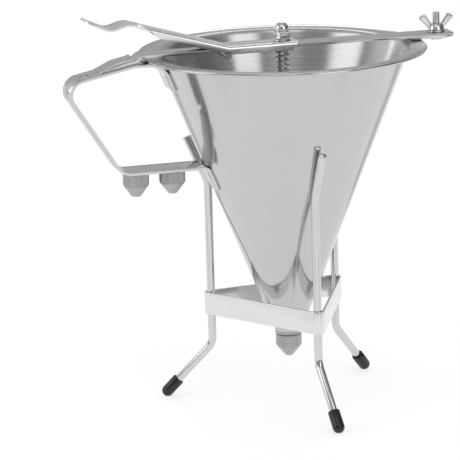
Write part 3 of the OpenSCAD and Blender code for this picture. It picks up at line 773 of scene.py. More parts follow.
@dataclass
class Studio:
    """The camera, the pale table, and the lamps and the room that the steel mirrors."""

    azimuth: float = -16.6
    elevation: float = 12.89
    distance: float = 1806
    target: tuple[float, float, float] = (0, 0, 140)
    focal_px: float = 2722
    frame_px: float = 460
    target_px: tuple[float, float] = (285.5, 196.2)
    roll: float = -1.345
    sensor_mm: float = 36
    clip_end_m: float = 50
    floor_reach: float = 7000
    floor_low: float = 0.02
    floor_cuts: int = 7
    # How much of the table glows, plain white to the camera and with painted shadows to the steel, and how much
    # keeps the real shadow
    table_share: float = 0.68
    # Painted shadows of black cards that are not in the scene, in degrees from the lens: each is a grey sector
    # painted into the table's glow that only the steel's reflections see, and the one at the lens is paler
    painted_shadow_angles: tuple[float, ...] = (-144, -56, 0, 56, 144)
    painted_shadow_width: float = 0.035
    painted_shadow_tone: float = 0.3
    painted_lens_shadow_tone: float = 0.86
    painted_shadow_reach_m: tuple[float, float] = (0.27, 0.36)
    aim_z: float = 180
    # A softbox at each side, overhead and behind, and a strip light. Each has its direction round the funnel
    # from +X towards +Y and its height in degrees, its distance, width and height in metres, and how bright
    # its face is, where 1 is white
    lamps: tuple[tuple[str, float, float, float, float, float, float], ...] = (
        ("right_softbox", 294, 27, 1.9, 0.86, 1.3, 1.5),
        ("left_softbox", 181, 24, 1.9, 1.1, 1.3, 1.5),
        ("top_softbox", 250, 62, 2.1, 0.9, 1.1, 1.1),
        ("strip_light", 122, 10, 1.9, 0.12, 0.6, 2.4),
        ("back_softbox", 73, 45, 1.9, 1.1, 0.4, 2.8))
    # The room in the steel's mirror: the axis of each mask, where it starts and ends along it, and its value
    # before and after. Paper hangs behind the funnel, up to half height and paler on the left, and the walls
    # are darker on the right
    behind: tuple[str, float, float, float, float] = ("Y", 0.3, 0.55, 0.0, 1.0)
    low: tuple[str, float, float, float, float] = ("Z", 0.5, 0.75, 1.0, 0.0)
    right: tuple[str, float, float, float, float] = ("X", 0.6, 0.9, 1.0, 0.45)
    paper: tuple[str, float, float, float, float] = ("X", -0.45, -0.05, 0.85, 0.48)
    # Heights and greys that the walls fade between
    walls: tuple[tuple[float, float], ...] = ((0.3, 0.3), (0.9, 0.45))

    def place_camera(self) -> None:
        """Stands the camera where the photograph was taken from."""
        a, e, r = (math.radians(v) for v in (self.azimuth, self.elevation, self.roll))
        back = Vector((math.sin(a) * math.cos(e), -math.cos(a) * math.cos(e), math.sin(e)))
        right = Vector((math.cos(a), math.sin(a), 0))
        up = right.cross(-back)
        across, over = math.cos(r) * right + math.sin(r) * up, -math.sin(r) * right + math.cos(r) * up
        middle = self.frame_px / 2
        aim = (-back * self.focal_px + across * (middle - self.target_px[0])
               + over * (self.target_px[1] - middle)).normalized()
        over = (over - aim * over.dot(aim)).normalized()
        across = aim.cross(over)
        bpy.ops.object.camera_add(location=at(*self.target) + back * self.distance * MM)
        camera = bpy.context.object
        camera.name = "camera"
        camera.rotation_euler = Matrix((across, over, -aim)).transposed().to_euler()
        camera.data.sensor_width = self.sensor_mm
        camera.data.lens = self.focal_px / self.frame_px * camera.data.sensor_width
        camera.data.clip_end = self.clip_end_m
        bpy.context.scene.camera = camera

    def lay_floor(self) -> None:
        """Lays the pale table, which shows white to the camera, white with painted grey shadow sectors to the
        steel, and keeps the real shadow.
        """
        far = self.floor_reach
        floor = plate("floor", flat((-far, -far), (far, -far), (far, far), (-far, far)), Plane.LEVEL,
                      -self.floor_low, 0)
        with floor.editing("FACE"):
            bpy.ops.mesh.subdivide(number_cuts=self.floor_cuts)
        material = bpy.data.materials.new("white_paper_sweep")
        tree = empty_tree(material)
        rays = add_node(tree, "LightPath").outputs
        seen = rays["Is Camera Ray"]
        for kind in ("Is Glossy Ray", "Is Transmission Ray"):
            seen = add_node(tree, "Math", {0: seen, 1: rays[kind]}, operation="MAXIMUM")
        share = add_node(tree, "Math", {0: seen, 1: self.table_share}, operation="MULTIPLY")
        paper = add_node(tree, "BsdfDiffuse", {"Color": srgb("F2F2F2")})
        # Glossy rays see the table's glow with the painted card shadows in it, other rays see it plain white
        mirrored = add_node(tree, "Mix", {
            "Factor": rays["Is Glossy Ray"], "A": srgb("FFFFFF"), "B": self.painted_card_shadows(tree)},
            data_type="RGBA")
        white = add_node(tree, "Emission", {"Color": mirrored, "Strength": 1.0})
        add_node(tree, "OutputMaterial", {
            "Surface": add_node(tree, "MixShader", {0: share, 1: paper, 2: white})})
        floor.obj.data.materials.append(material)

    def painted_card_shadows(self, tree: bpy.types.NodeTree) -> bpy.types.Node:
        """Painted shadows of black cards beside the lens: grey sectors painted on the table, which draw lines
        along the rods.

        Args:
            tree: The table's node tree.

        Returns:
            The colour that the steel mirrors at each place of the table.
        """
        where = add_node(tree, "TexCoord").outputs["Object"]
        middle = add_node(tree, "Mapping", {"Vector": where, "Location": at(0, 0, 0)}, vector_type="TEXTURE")
        parts = add_node(tree, "SeparateXYZ", {0: middle}).outputs
        angle = add_node(tree, "Math", {0: parts["Y"], 1: parts["X"]}, operation="ARCTAN2")
        turn = add_node(tree, "MapRange", {
            "Value": angle, "From Min": -math.pi, "From Max": math.pi, "To Min": 0.0, "To Max": 1.0})
        ramp = add_node(tree, "ValToRGB", {"Fac": turn})
        marks = [(0.0, 1.0)]
        for side in self.painted_shadow_angles:
            # The ramp runs once round, from -180 to 180 degrees, and the lens is 90 degrees before its azimuth
            place = ((self.azimuth - 90 + side + 180) % 360) / 360
            # The sector at the lens is a paler painted shadow of the camera
            tone = self.painted_shadow_tone if side else self.painted_lens_shadow_tone
            marks += [(place - self.painted_shadow_width, 1.0), (place, tone), (place + self.painted_shadow_width, 1.0)]
        first, *between, last = sorted(marks)
        stops = ramp.color_ramp.elements
        for stop, (place, tone) in zip(stops, (first, last)):
            stop.position, stop.color = place, (tone, tone, tone, 1)
        for place, tone in between:
            stops.new(place).color = (tone, tone, tone, 1)
        reach = add_node(tree, "VectorMath", {0: middle}, operation="LENGTH")
        start, end = self.painted_shadow_reach_m
        far = add_node(tree, "MapRange", {
            "Value": reach, "From Min": start, "From Max": end, "To Min": 0.0, "To Max": 1.0})
        return add_node(tree, "Mix", {"Factor": far, "A": srgb("FFFFFF"), "B": ramp}, data_type="RGBA")

    def hang_lamps(self) -> None:
        """Hangs the lamps so that each faces the funnel."""
        for name, azimuth, elevation, distance, width, height, radiance in self.lamps:
            a, e = math.radians(azimuth), math.radians(elevation)
            way = Vector((math.cos(a) * math.cos(e), math.sin(a) * math.cos(e), math.sin(e)))
            bpy.ops.object.light_add(type="AREA", location=at(0, 0, self.aim_z) + way * distance)
            lamp = bpy.context.object
            lamp.name = name
            lamp.rotation_euler = (-way).to_track_quat("-Z", "Y").to_euler()
            lamp.data.shape = "RECTANGLE"
            lamp.data.size, lamp.data.size_y = width, height
            lamp.data.energy = radiance * math.pi * width * height

    def paint_room(self) -> None:
        """Makes the world: white to the camera, a soft sky to rough steel, and a grey room in its mirror."""
        world = bpy.data.worlds.new("studio")
        bpy.context.scene.world = world
        tree = empty_tree(world)
        rays = add_node(tree, "LightPath").outputs
        way = add_node(tree, "TexCoord").outputs["Generated"]
        parts = add_node(tree, "SeparateXYZ", {0: way}).outputs
        ramp = add_node(tree, "ValToRGB", {"Fac": parts["Z"]})
        for stop, (place, tone) in zip(ramp.color_ramp.elements, self.walls):
            stop.position, stop.color = place, (tone, tone, tone, 1)
        behind, low, right, paper = (add_node(tree, "MapRange", {
            "Value": parts[axis], "From Min": start, "From Max": end, "To Min": first, "To Max": last})
            for axis, start, end, first, last in (self.behind, self.low, self.right, self.paper))
        sweep = add_node(tree, "Math", {0: behind, 1: low}, operation="MULTIPLY")
        walls = add_node(tree, "VectorMath", {0: ramp, "Scale": right}, operation="SCALE")
        room = add_node(tree, "Mix", {"Factor": sweep, "A": walls, "B": paper}, data_type="RGBA")
        white, mirrored = (add_node(tree, "Background", {"Color": colour, "Strength": 1.0})
                           for colour in ((1, 1, 1, 1), room))
        lit = add_node(tree, "MixShader", {0: rays["Is Glossy Ray"], 1: white, 2: mirrored})
        clear = add_node(tree, "Math", {0: rays["Is Camera Ray"], 1: rays["Is Transmission Ray"]},
                         operation="MAXIMUM")
        mix = add_node(tree, "MixShader", {0: clear, 1: lit, 2: white})
        add_node(tree, "OutputWorld", {"Surface": mix})

    def build(self) -> None:
        """Sets up the whole studio."""
        bpy.context.scene.view_settings.view_transform = "Standard"
        self.place_camera()
        self.lay_floor()
        self.hang_lamps()
        self.paint_room()


@dataclass
class Funnel:
    """The cone with its flange and rolled rim, and the collar under it."""

    rim_z: float = 239.5
    rim_d: float = 189.96
    angle: float = 21.4
    sheet: float = 1.2
    flange_w: float = 11.75
    flange_bend_r: float = 3.5
    bead_d: float = 2
    bead_lap: float = 4
    collar_d: float = 18.4
    collar_h: float = 2.3
    collar_edge: float = 0.3
    spigot_d: float = 13.9
    spigot_h: float = 5.6
    outlet_d: float = 8.4
    collar_draft: float = 0.05
    steps: int = 192
    rows: int = 12
    # A face whose normal rises by more than this is one of the bowl or of the flange's top
    upward: float = 0.05

    @property
    def slope(self) -> float:
        """How far the cone widens with its height."""
        return math.tan(math.radians(self.angle))

    @property
    def corner(self) -> Vector:
        """Where the cone's outer face would meet the flange's, without the bend."""
        return Vector((self.rim_d / 2 - self.flange_w, self.rim_z - self.bead_d / 2 - self.sheet / 2))

    @property
    def apex_z(self) -> float:
        """The height at which the cone's outer face would close."""
        return self.corner.y - self.corner.x / self.slope

    @property
    def throat_z(self) -> float:
        """The height of the cone's lower end."""
        return self.apex_z + self.collar_d / 2 / self.slope

    @property
    def throat_inner_r(self) -> float:
        """The inner radius of the cone's lower end."""
        return self.collar_d / 2 - self.sheet / math.cos(math.radians(self.angle))

    @property
    def bead(self) -> Vector:
        """The middle of the rolled rim's section."""
        return Vector((self.rim_d / 2 - self.bead_d / 2, self.rim_z - self.bead_d / 2))

    def radius(self, z: float) -> float:
        """The radius of the cone's outer face at a height."""
        return (z - self.apex_z) * self.slope

    def outer_face(self) -> list[Vector]:
        """The line of the outer face, from the throat to the rim."""
        throat, edge = Vector((self.collar_d / 2, self.throat_z)), self.bead - Vector((0, self.sheet / 2))
        return rounded([throat, self.corner, edge], [self.flange_bend_r], 4)

    def wall(self) -> list[Vector]:
        """The closed half section of the cone, flange and rim.

        Returns:
            The section's points, with the first one again at the end.
        """
        outer = self.outer_face()
        throat = outer[0]
        inner = beside(outer, self.sheet)
        inner[0] = Vector((self.throat_inner_r, self.throat_z))
        lower = math.degrees(math.asin(self.sheet / self.bead_d)) + self.bead_lap
        rim = arc(self.bead, self.bead_d / 2, 180 + lower, 540 - lower, 20)
        shares = [i / self.rows for i in range(1, self.rows)]
        rise = [throat.lerp(outer[1], share) for share in shares]
        fall = [inner[1].lerp(inner[0], share) for share in shares]
        return [throat, *rise, *outer[1:-1], *rim, *reversed(inner[1:-1]), *fall, inner[0], throat]

    def build(self) -> None:
        """Makes the cone and its collar."""
        cone = turned("funnel_shell", self.wall(), self.steps)
        bowl, flange = self.corner.x + self.sheet, self.bead.x - self.bead_d / 2
        for finish in (POLISHED_SHEET, BRUSHED_SHEET, SMOOTHED_FLANGE):
            cone.obj.data.materials.append(finish.material())
        for slot, inner, outer in ((1, 0, bowl), (2, bowl, flange)):
            with cone.editing("FACE"):
                cone.pick(lambda middle, normal: normal.z > self.upward and inner < middle.xy.length < outer,
                          "FACE")
                cone.obj.active_material_index = slot
                bpy.ops.object.material_slot_assign()
        cone.finish("funnel", POLISHED_SHEET, "funnel_cone", smooth=50)
        throat, shoulder = Vector((self.throat_inner_r, self.throat_z)), self.throat_z - self.collar_h
        collar, spigot, outlet = self.collar_d / 2, self.spigot_d / 2, self.outlet_d / 2
        low, edge = shoulder - self.spigot_h, self.collar_edge
        section = flat(throat, (collar - self.collar_draft, throat.y), (collar, shoulder + edge),
                       (collar - edge, shoulder), (spigot, shoulder), (spigot, low + edge),
                       (spigot - edge, low), (outlet, low), (outlet, throat.y - (throat.x - outlet)), throat)
        turned("outlet_ring", section, self.steps // 2).finish("funnel", TURNED_STEEL, "outlet_collar")


@dataclass
class Handle:
    """The strip handle with its hanging hole, and the keeper pressed over the crossbar's tongue."""

    funnel: Funnel
    width: float = 22
    sheet: float = 2
    edge: float = 0.45
    fall_x: float = 103
    fall: float = 11.9
    lean: float = 32
    low_x: float = 112.78
    low_z: float = 165
    rim_r: float = 16
    grip_r: float = 10.5
    low_r: float = 12
    foot_r: float = 4
    upper_weld: float = 18.6
    lower_weld: float = 15
    hang_d: float = 6
    hang_along: float = 31
    weld_gap: float = 0.1
    keeper_sheet: float = 1
    keeper_w: float = 17.8
    keeper_roof: float = 10.5
    keeper_ramp: float = 10.5
    keeper_bend_share: float = 0.8
    keeper_foot: float = 1
    keeper_inner_h: float = 2.5
    keeper_end_x: float = 101.1
    keeper_edge: float = 0.9

    @property
    def top_z(self) -> float:
        """The height of the handle's top, just under the rim."""
        return self.funnel.rim_z - self.funnel.bead_d - self.weld_gap

    def sink(self, z: float) -> float:
        """How far the cone's face falls away over half the handle's width."""
        r = self.funnel.radius(z)
        return r - math.sqrt(r * r - self.width ** 2 / 4)

    def along(self) -> Matrix:
        """The frame of the handle's falling top: X along it away from the funnel, Z off the strip."""
        return (Matrix.Translation(at(-self.fall_x, 0, self.top_z))
                @ Matrix.Rotation(-math.radians(self.fall), 4, "Y") @ Matrix.Rotation(math.pi, 4, "Z"))

    def face(self) -> list[Vector]:
        """The line of the handle's outer face, from the rim round the grip to the cone.

        Returns:
            The line's points.
        """
        start, low = Vector((-self.fall_x, self.top_z)), Vector((-self.low_x, self.low_z))
        u, v = -heading(self.fall), heading(90 + self.lean)
        grip = start + u * cross(low - start, v) / cross(u, v)
        radius, upper = self.funnel.radius, self.sink(self.top_z)
        stand = self.sheet / math.cos(math.radians(self.funnel.angle)) - self.sink(self.low_z)
        upper_tip, lower_tip = self.top_z - self.upper_weld, self.low_z - self.lower_weld
        corners = flat((upper - radius(upper_tip), upper_tip), (upper - radius(self.top_z), self.top_z),
                       start, grip, low,
                       (-radius(self.low_z) - stand, self.low_z), (-radius(lower_tip) - stand, lower_tip))
        return rounded(corners, [self.rim_r, 0, self.grip_r, self.low_r, self.foot_r])

    def build_strip(self) -> None:
        """Makes the handle itself."""
        grip = open_sheet("handle_strip", self.face(), Plane.UPRIGHT, -self.width / 2, self.width)
        grip.thicken(self.sheet)
        face = beside(self.funnel.outer_face(), -self.weld_gap)
        top = face[-1] + Vector((0, OVERRUN))
        grip.cut(turned("cone_cutter", [Vector((0, face[0].y)), *face, top, Vector((0, top.y))], 256))
        reach = 2 * self.sheet
        hole = self.along() @ Vector((self.hang_along * MM, 0, 0))
        grip.cut(drill(-reach, reach, self.hang_d / 2).turn(-self.fall, "Y", to=hole))
        grip.round_edges(self.edge).finish("funnel", BELTED_STRIP, "carry_handle")

    def build_keeper(self) -> None:
        """Makes the keeper: a pressed sheet with closed sides, open towards the funnel."""
        fall, half = math.radians(self.fall), self.keeper_w / 2
        open_x = (self.fall_x - self.keeper_end_x) / math.cos(fall)
        seat, lift = self.weld_gap, open_x * math.sin(fall)
        roof_z, foot_z = seat + self.keeper_inner_h + self.keeper_sheet, seat + self.keeper_sheet
        foot_x, bend_r = self.keeper_roof + self.keeper_ramp, self.keeper_bend_share * self.keeper_ramp
        tip = foot_x + self.keeper_foot
        face = rounded(flat((tip, foot_z), (foot_x, foot_z), (self.keeper_roof, roof_z), (0, roof_z),
                            (-open_x, roof_z + lift)), [bend_r, bend_r, 0])
        outline = face + flat((-open_x, seat + lift), (0, seat), (tip, seat))
        inner = beside(face, self.keeper_sheet)
        past, under = -open_x - OVERRUN, -2 * OVERRUN
        pocket = inner + flat((past, inner[-1].y), (past, under), (tip, under))
        keeper = self.block("keeper_sheet", outline, half)
        with keeper.editing("EDGE"):
            keeper.pick(lambda middle, _: abs(abs(middle.y) - half) < NEAR and middle.z > foot_z - 5 * NEAR
                        and middle.x + AXIS_X > -open_x + NEAR, "EDGE")
            bpy.ops.mesh.bevel(offset=self.keeper_edge * MM, segments=4, affect="EDGES")
        keeper.cut(self.block("keeper_pocket", pocket, half - self.keeper_sheet)).place(self.along())
        keeper.finish("funnel", BELTED_STRIP, "bar_keeper")

    def block(self, name: str, outline: Sequence[Vector], half: float) -> Workpiece:
        """A block of half a width to each side, with its outline in the frame of the handle's falling top."""
        return plate(name, outline, Plane.UPRIGHT, -half, 2 * half, -AXIS_X)

    def build(self) -> None:
        """Makes the handle and its keeper."""
        self.build_strip()
        self.build_keeper()


@dataclass
class Crossbar:
    """The bar over the mouth, and the bolt that clamps it to the rim's tab."""

    handle: Handle
    bar_z: float = 241.1
    width: float = 15
    sheet: float = 2
    edge: float = 0.35
    end_x: float = 116.5
    step_x: float = 96.5
    step_run: float = 4.5
    step_r: float = 1.6
    tongue_z: float = 237.5
    tongue_l: float = 10
    rod_hole_d: float = 6.15
    bolt_hole_d: float = 5.4
    bolt_x: float = 107
    bolt_d: float = 5
    bolt_top_z: float = 256.1
    bolt_low_z: float = 239.5
    bolt_head_t: float = 1.5
    bolt_head_d: float = 9
    bolt_edge: float = 0.3
    pitch: float = 0.8
    thread_depth: float = 0.42
    thread_flat: float = 0.03
    thread_start: float = 0.4
    thread_end: float = 0.9
    runout: float = 0.2
    # The thread's crest runs between these shares of a turn's climb
    crest_shares: tuple[float, float] = (0.4, 0.55)
    tab_z: float = 239.6
    tab_sheet: float = 1.5
    tab_w: float = 16
    tab_edge: float = 0.3
    tab_start_x: float = 88
    tab_end_x: float = 118.5
    washer_z: float = 243.2
    washer_t: float = 1
    washer_d: float = 11.5
    washer_edge: float = 0.2

    def build_bar(self) -> None:
        """Makes the bar with the step down to its tongue."""
        top, low = self.bar_z + self.sheet, self.tongue_z + self.sheet
        fall_x, fall = self.handle.fall_x, self.handle.fall
        tip = (Vector((-fall_x, self.tongue_z)) - self.tongue_l * heading(fall)
               + self.sheet * heading(90 + fall))
        corners = flat((self.end_x, top), (-self.step_x, top), (-self.step_x - self.step_run, low),
                       (-fall_x, low), tip)
        line = rounded(corners, [self.step_r, self.step_r, 0], 8)
        bar = open_sheet("mouth_bar", line, Plane.UPRIGHT, -self.width / 2, self.width).thicken(self.sheet)
        for x, hole_d in ((0, self.rod_hole_d), (self.bolt_x, self.bolt_hole_d)):
            bar.cut(drill(self.bar_z - OVERRUN, top + OVERRUN, hole_d / 2, x))
        bar.round_edges(self.edge).finish("funnel", BELTED_STRIP, "crossbar")

    def build_tab(self) -> None:
        """Makes the rounded tab that lies on the rim."""
        half, start = self.tab_w / 2, self.tab_start_x
        outline = [*flat((start, -half)), *arc(Vector((self.tab_end_x - half, 0)), half, -90, 90, 5),
                   *flat((start, half))]
        tab = plate("rim_plate", outline, Plane.LEVEL, self.tab_z, self.tab_sheet)
        over = self.tab_z + 2 * self.tab_sheet
        tab.cut(drill(self.tab_z - OVERRUN, over, self.bolt_d / 2 + PLAY, self.bolt_x))
        tab.round_edges(self.tab_edge, 2).finish("funnel", BELTED_STRIP, "rim_tab")

    def build_bolt(self) -> None:
        """Makes the bolt with a cut thread above the bar."""
        crest, start, climb = self.bolt_d / 2, self.bar_z + self.thread_start, self.pitch
        root = crest - self.thread_depth
        turns = int((self.bolt_top_z - self.thread_end - start) / climb)
        profile = [Vector((r, start + share * climb)) for r, share in (
            (root, 0), *((crest - self.thread_flat, share) for share in self.crest_shares), (root, 1))]
        thread = Workpiece("clamp_screw").draw(profile, Plane.UPRIGHT, x=self.bolt_x)
        thread.wind(climb, turns, 24, self.bolt_x, merge=True)
        with thread.editing("EDGE"):
            bpy.ops.mesh.fill_holes(sides=0)
        thread.tidy()
        end, gap, seat = start + (turns + 1) * climb, self.runout, self.bolt_low_z
        low, head, edge = seat - self.bolt_head_t, self.bolt_head_d / 2, self.bolt_edge
        # The core under the thread is a little over the root, and the bolt's end over the thread's
        core, tail = root + gap / 10, root + gap / 2
        section = flat((0, low), (head - edge, low), (head, low + edge), (head, seat), (crest, seat),
                       (crest, start - gap), (core, start + gap), (core, end - gap), (tail, end - gap / 2),
                       (tail, self.bolt_top_z - 2 * gap), (root - edge, self.bolt_top_z), (0, self.bolt_top_z))
        thread.join(turned("bolt_core", section, 48, self.bolt_x))
        thread.finish("funnel", FORMED_STEEL, "clamp_bolt", smooth=50)

    def build(self) -> None:
        """Makes the bar, its tab, bolt and washer."""
        self.build_bar()
        self.build_tab()
        self.build_bolt()
        ring("screw_washer", self.bolt_d / 2 + PLAY, self.washer_d / 2, self.washer_z, self.washer_t,
             self.washer_edge, self.bolt_x).finish("funnel", FORMED_STEEL, "clamp_washer")


@dataclass
class WingNut:
    """The nut with two wings that clamps the bar."""

    x: float
    low_z: float = 244.3
    base_d: float = 11
    top_d: float = 8.5
    height: float = 4.2
    edge: float = 0.4
    # The hub's cone ends this far outside the top's radius and under the top
    shoulder: tuple[float, float] = (0.25, 0.6)
    root: tuple[float, float] = (3.1, 1.05)
    root_margin: float = 0.6
    reach: float = 12.5
    outer_z: float = 8.3
    wing_top_z: float = 11
    wing_top_x: float = 8.2
    wing_r: tuple[float, float, float] = (0.8, 1.1, 1.1)
    wing_edge: float = 0.7
    thickness: float = 2.4
    bore_d: float = 5.1

    def build(self) -> None:
        """Makes the hub and the two wings."""
        low, high, bore = self.low_z, self.low_z + self.height, self.bore_d / 2
        base, top, edge = self.base_d / 2, self.top_d / 2, self.edge
        hub = turned("wing_hub", flat(
            (bore, low), (base - edge, low), (base, low + edge),
            (top + self.shoulder[0], high - self.shoulder[1]), (top - edge, high), (bore, high), (bore, low)),
            x=self.x)
        root_x, root_z = self.root
        inner, *wing = [Vector((x, low + z)) for x, z in (
            (root_x, self.height - self.root_margin), (root_x, root_z), (base - self.root_margin, root_z),
            (self.reach, self.outer_z), (self.wing_top_x, self.wing_top_z))]
        blade = rounded([inner, *wing, inner], [0, *self.wing_r], 12)[:-1]
        wing = plate("wing", blade, Plane.UPRIGHT, -self.thickness / 2, self.thickness, self.x)
        wing.round_edges(self.wing_edge, 4)
        hub.join(wing, wing.copy("other_wing").turn(180, x=self.x))
        hub.obj.name = "winged_nut"
        hub.finish("wing_nut", FORMED_STEEL, "wing_nut", smooth=45)


@dataclass
class Lever:
    """The folded lever with its waved thumb plate, and the ears that it rocks by."""

    width: float = 20
    sheet: float = 1.6
    edge: float = 0.35
    depth: float = 5.3
    pivot: tuple[float, float] = (-39.5, 238.8)
    top_z: float = 244.8
    nose_x: float = 9
    nose_slant: float = 4.5
    bend_x: float = -38.5
    arm_rise: float = 16.6
    side_reach: float = 55
    side_slant: float = 9
    crest: tuple[float, float] = (-104.5, 264.475)
    valley: tuple[float, float] = (-116.5, 260.675)
    tip: tuple[float, float] = (-131.4, 267.575)
    bend_r: float = 9.6
    crest_r: float = 14
    valley_r: float = 10
    fold_r: float = 2
    fold_steps: int = 6
    ear_r: float = 2.7
    ear_edge: float = 0.25
    slot_w: float = 6.4
    slot_shift: float = 2.45
    # The bend starts this far before its corner, and its chords lie this much under the two straight lines
    bend_run: float = 1.4
    bend_sag: float = 0.3

    def build(self) -> None:
        """Folds the lever from one sheet: plate, sides and ears."""
        rise, half = math.radians(self.arm_rise), self.width / 2
        corner = Vector((self.bend_x, self.top_z))
        end = corner + self.side_reach * Vector((-1, math.tan(rise)))
        line = rounded([Vector((self.nose_x, self.top_z)), corner, *flat(self.crest, self.valley, self.tip)],
                       [self.bend_r, self.crest_r, self.valley_r])
        line.insert(next(i for i, p in enumerate(line) if p.x < end.x), end)
        lever = open_sheet("rocking_lever", line, Plane.UPRIGHT, -half, self.width)

        def on_side(middle: Vector, _: Vector | None) -> bool:
            """Whether an edge lies on the plate's long edges, inside the length of the sides."""
            return abs(abs(middle.y) - half) < NEAR and middle.x > end.x

        with lever.editing("EDGE"):
            lever.pick(on_side, "EDGE")
            bpy.ops.mesh.extrude_region_move(TRANSFORM_OT_translate={"value": Vector((0, 0, -self.depth)) * MM})
        near = 10 * NEAR
        with lever.editing():
            lever.pick(lambda m, _: m.z < end.y - self.depth + near and abs(m.x - end.x) < near, "VERT")
            back = Vector((math.cos(rise), 0, -math.sin(rise)))
            bpy.ops.transform.translate(value=back * self.side_slant * MM)
            lever.pick(lambda m, _: m.x > self.nose_x - near and m.z < self.top_z - OVERRUN, "VERT")
            bpy.ops.transform.translate(value=Vector((-self.nose_slant, 0, 0)) * MM)
        with lever.editing("EDGE"):
            lever.pick(lambda m, _: on_side(m, _) and self.on_fold(m), "EDGE")
            bpy.ops.mesh.bevel(offset=self.fold_r * MM, segments=self.fold_steps, affect="EDGES")
        lever.thicken(self.sheet)
        radius, shift = self.slot_w / 2, Vector((self.slot_shift, 0))
        slot = [Vector((0, -radius)), *arc(shift, radius, -90, 90, 8),
                *arc(Vector((0, 0)), radius, 90, 270, 8)[:-1]]
        lever.cut(plate("slot_cutter", slot, Plane.LEVEL, self.top_z - 2 * self.sheet, 3 * self.sheet))
        lever.round_edges(self.edge)
        lever.join(*(self.ear(side * (half - self.sheet / 2)) for side in (-1, 1)))
        lever.finish("lever", RUMBLED_STRIP, "lever")

    def on_fold(self, middle: Vector) -> bool:
        """Whether a point lies where the plate folds down into a side.

        Args:
            middle: The point.

        Returns:
            True on the flat part's edge and on the arm's, with the bend between them.
        """
        if middle.x > self.bend_x - self.bend_run:
            return middle.z > self.top_z - 5 * NEAR
        run = self.bend_x - middle.x
        return middle.z > self.top_z + run * math.tan(math.radians(self.arm_rise)) - self.bend_sag

    def ear(self, y: float) -> Workpiece:
        """One ear round the pivot pin, at a distance from the middle."""
        disc = arc(Vector(self.pivot), self.ear_r, 0, 360, 9)[:-1]
        return plate("ear", disc, Plane.UPRIGHT, y - self.sheet / 2, self.sheet).round_edges(self.ear_edge, 2)


@dataclass
class Plunger:
    """The rod with its dome nut, washer and spring stop, and the spring round it; the valve keeps its CAD
    shape.
    """

    rod_d: float = 6
    rod_low_z: float = 49.285
    rod_top_z: float = 253.35
    rod_edge: float = 0.5
    nut_z: float = 245.9
    nut_af: float = 10
    nut_edge: float = 0.12
    hex_h: float = 5.2
    neck_h: float = 1.1
    dome_d: float = 9.5
    bore_margin: float = 0.4
    # The hexagon's corners are turned off from this far inside its flats, down to this height
    chamfer: tuple[float, float] = (0.25, 0.75)
    # The dome's foot goes this far into the hexagon, and its groove is this deep and this high
    dome_sink: float = 0.3
    groove: tuple[float, float] = (0.35, 0.15)
    washer_z: float = 244.9
    washer_d: float = 11.6
    washer_t: float = 1
    washer_edge: float = 0.2
    stop_z: float = 204.1
    stop_h: float = 3
    stop_d: float = 11
    stop_edge: float = 0.4
    spring_low_z: float = 208
    spring_high_z: float = 240.2
    spring_d: float = 9.8
    wire_d: float = 1.2
    closed_share: float = 1.04
    active_turns: int = 9
    spring_keep: float = 0.68

    def build_nut(self) -> None:
        """Makes the dome nut: a chamfered hexagon under a round cap."""
        low, high, flat_r, r = self.nut_z, self.nut_z + self.hex_h, self.nut_af / 2, self.dome_d / 2
        corners = arc(Vector((0, 0)), flat_r / math.cos(math.pi / 6), 0, 300, 60)
        nut = plate("dome_nut_body", corners, Plane.LEVEL, low, self.hex_h)
        wide, face, fall = flat_r + OVERRUN, flat_r - self.chamfer[0], self.chamfer[1]
        nut.cut(turned("chamfer_cutter", flat(
            (0, low - OVERRUN), (face, low - OVERRUN), (face, low), (wide, low + fall), (wide, high - fall),
            (face, high), (face, high + OVERRUN), (0, high + OVERRUN)), 96), "INTERSECT")
        nut.cut(drill(low - OVERRUN, high - self.bore_margin, self.rod_d / 2 + PLAY))
        foot, (deep, tall) = high - self.dome_sink, self.groove
        cap = flat((0, foot), (r - deep, foot), (r - deep, high + tall), (r, high + 3 * tall))
        cap += arc(Vector((0, high + self.neck_h)), r, 0, 90, 6)
        nut.round_edges(self.nut_edge, 2, 25).join(turned("dome", cap, 96))
        nut.finish("plunger", FORMED_STEEL, "dome_nut", smooth=24)

    def build_spring(self) -> None:
        """Winds the spring: open turns between a closed turn at each end."""
        low, high, wire = self.spring_low_z, self.spring_high_z, self.wire_d / 2
        closed = self.wire_d * self.closed_share
        pitch = (high - low - 2 * closed) / self.active_turns
        parts = []
        for i, (start, turns, step) in enumerate((
                (low, 1, closed), (low + closed, self.active_turns, pitch), (high - closed, 1, closed))):
            circle = arc(Vector((self.spring_d / 2 - wire, start)), wire, 0, 360, 30)[:-1]
            parts.append(Workpiece(f"coil_{i}").draw(circle, Plane.UPRIGHT, closed=True).wind(step, turns, 32))
        spring = parts[0].join(*parts[1:])
        spring.obj.name = spring.obj.data.name = "coil_spring"
        with spring.editing("EDGE"):
            bpy.ops.mesh.remove_doubles(threshold=WELD * 5)
            bpy.ops.mesh.select_all(action="DESELECT")
            bpy.ops.mesh.select_non_manifold()
            bpy.ops.mesh.edge_face_add()
        spring.tidy()
        piece = spring.finish("funnel", SPRING_WIRE, "return_spring", smooth=60)
        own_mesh(piece)

    def build(self) -> None:
        """Makes the rod and everything on it."""
        self.build_nut()
        r, low, high, edge = self.rod_d / 2, self.rod_low_z, self.rod_top_z, self.rod_edge
        turned("valve_rod", flat((0, low), (r, low), (r, high - edge), (r - edge, high), (0, high)), 48).finish(
            "plunger", DRAWN_ROD, "plunger_rod")
        ring("rod_washer", r + PLAY, self.washer_d / 2, self.washer_z, self.washer_t, self.washer_edge).finish(
            "plunger", FORMED_STEEL, "nut_washer")
        ring("spring_seat", r + PLAY, self.stop_d / 2, self.stop_z, self.stop_h, self.stop_edge).finish(
            "plunger", TURNED_STEEL, "spring_stop")
        self.build_spring()


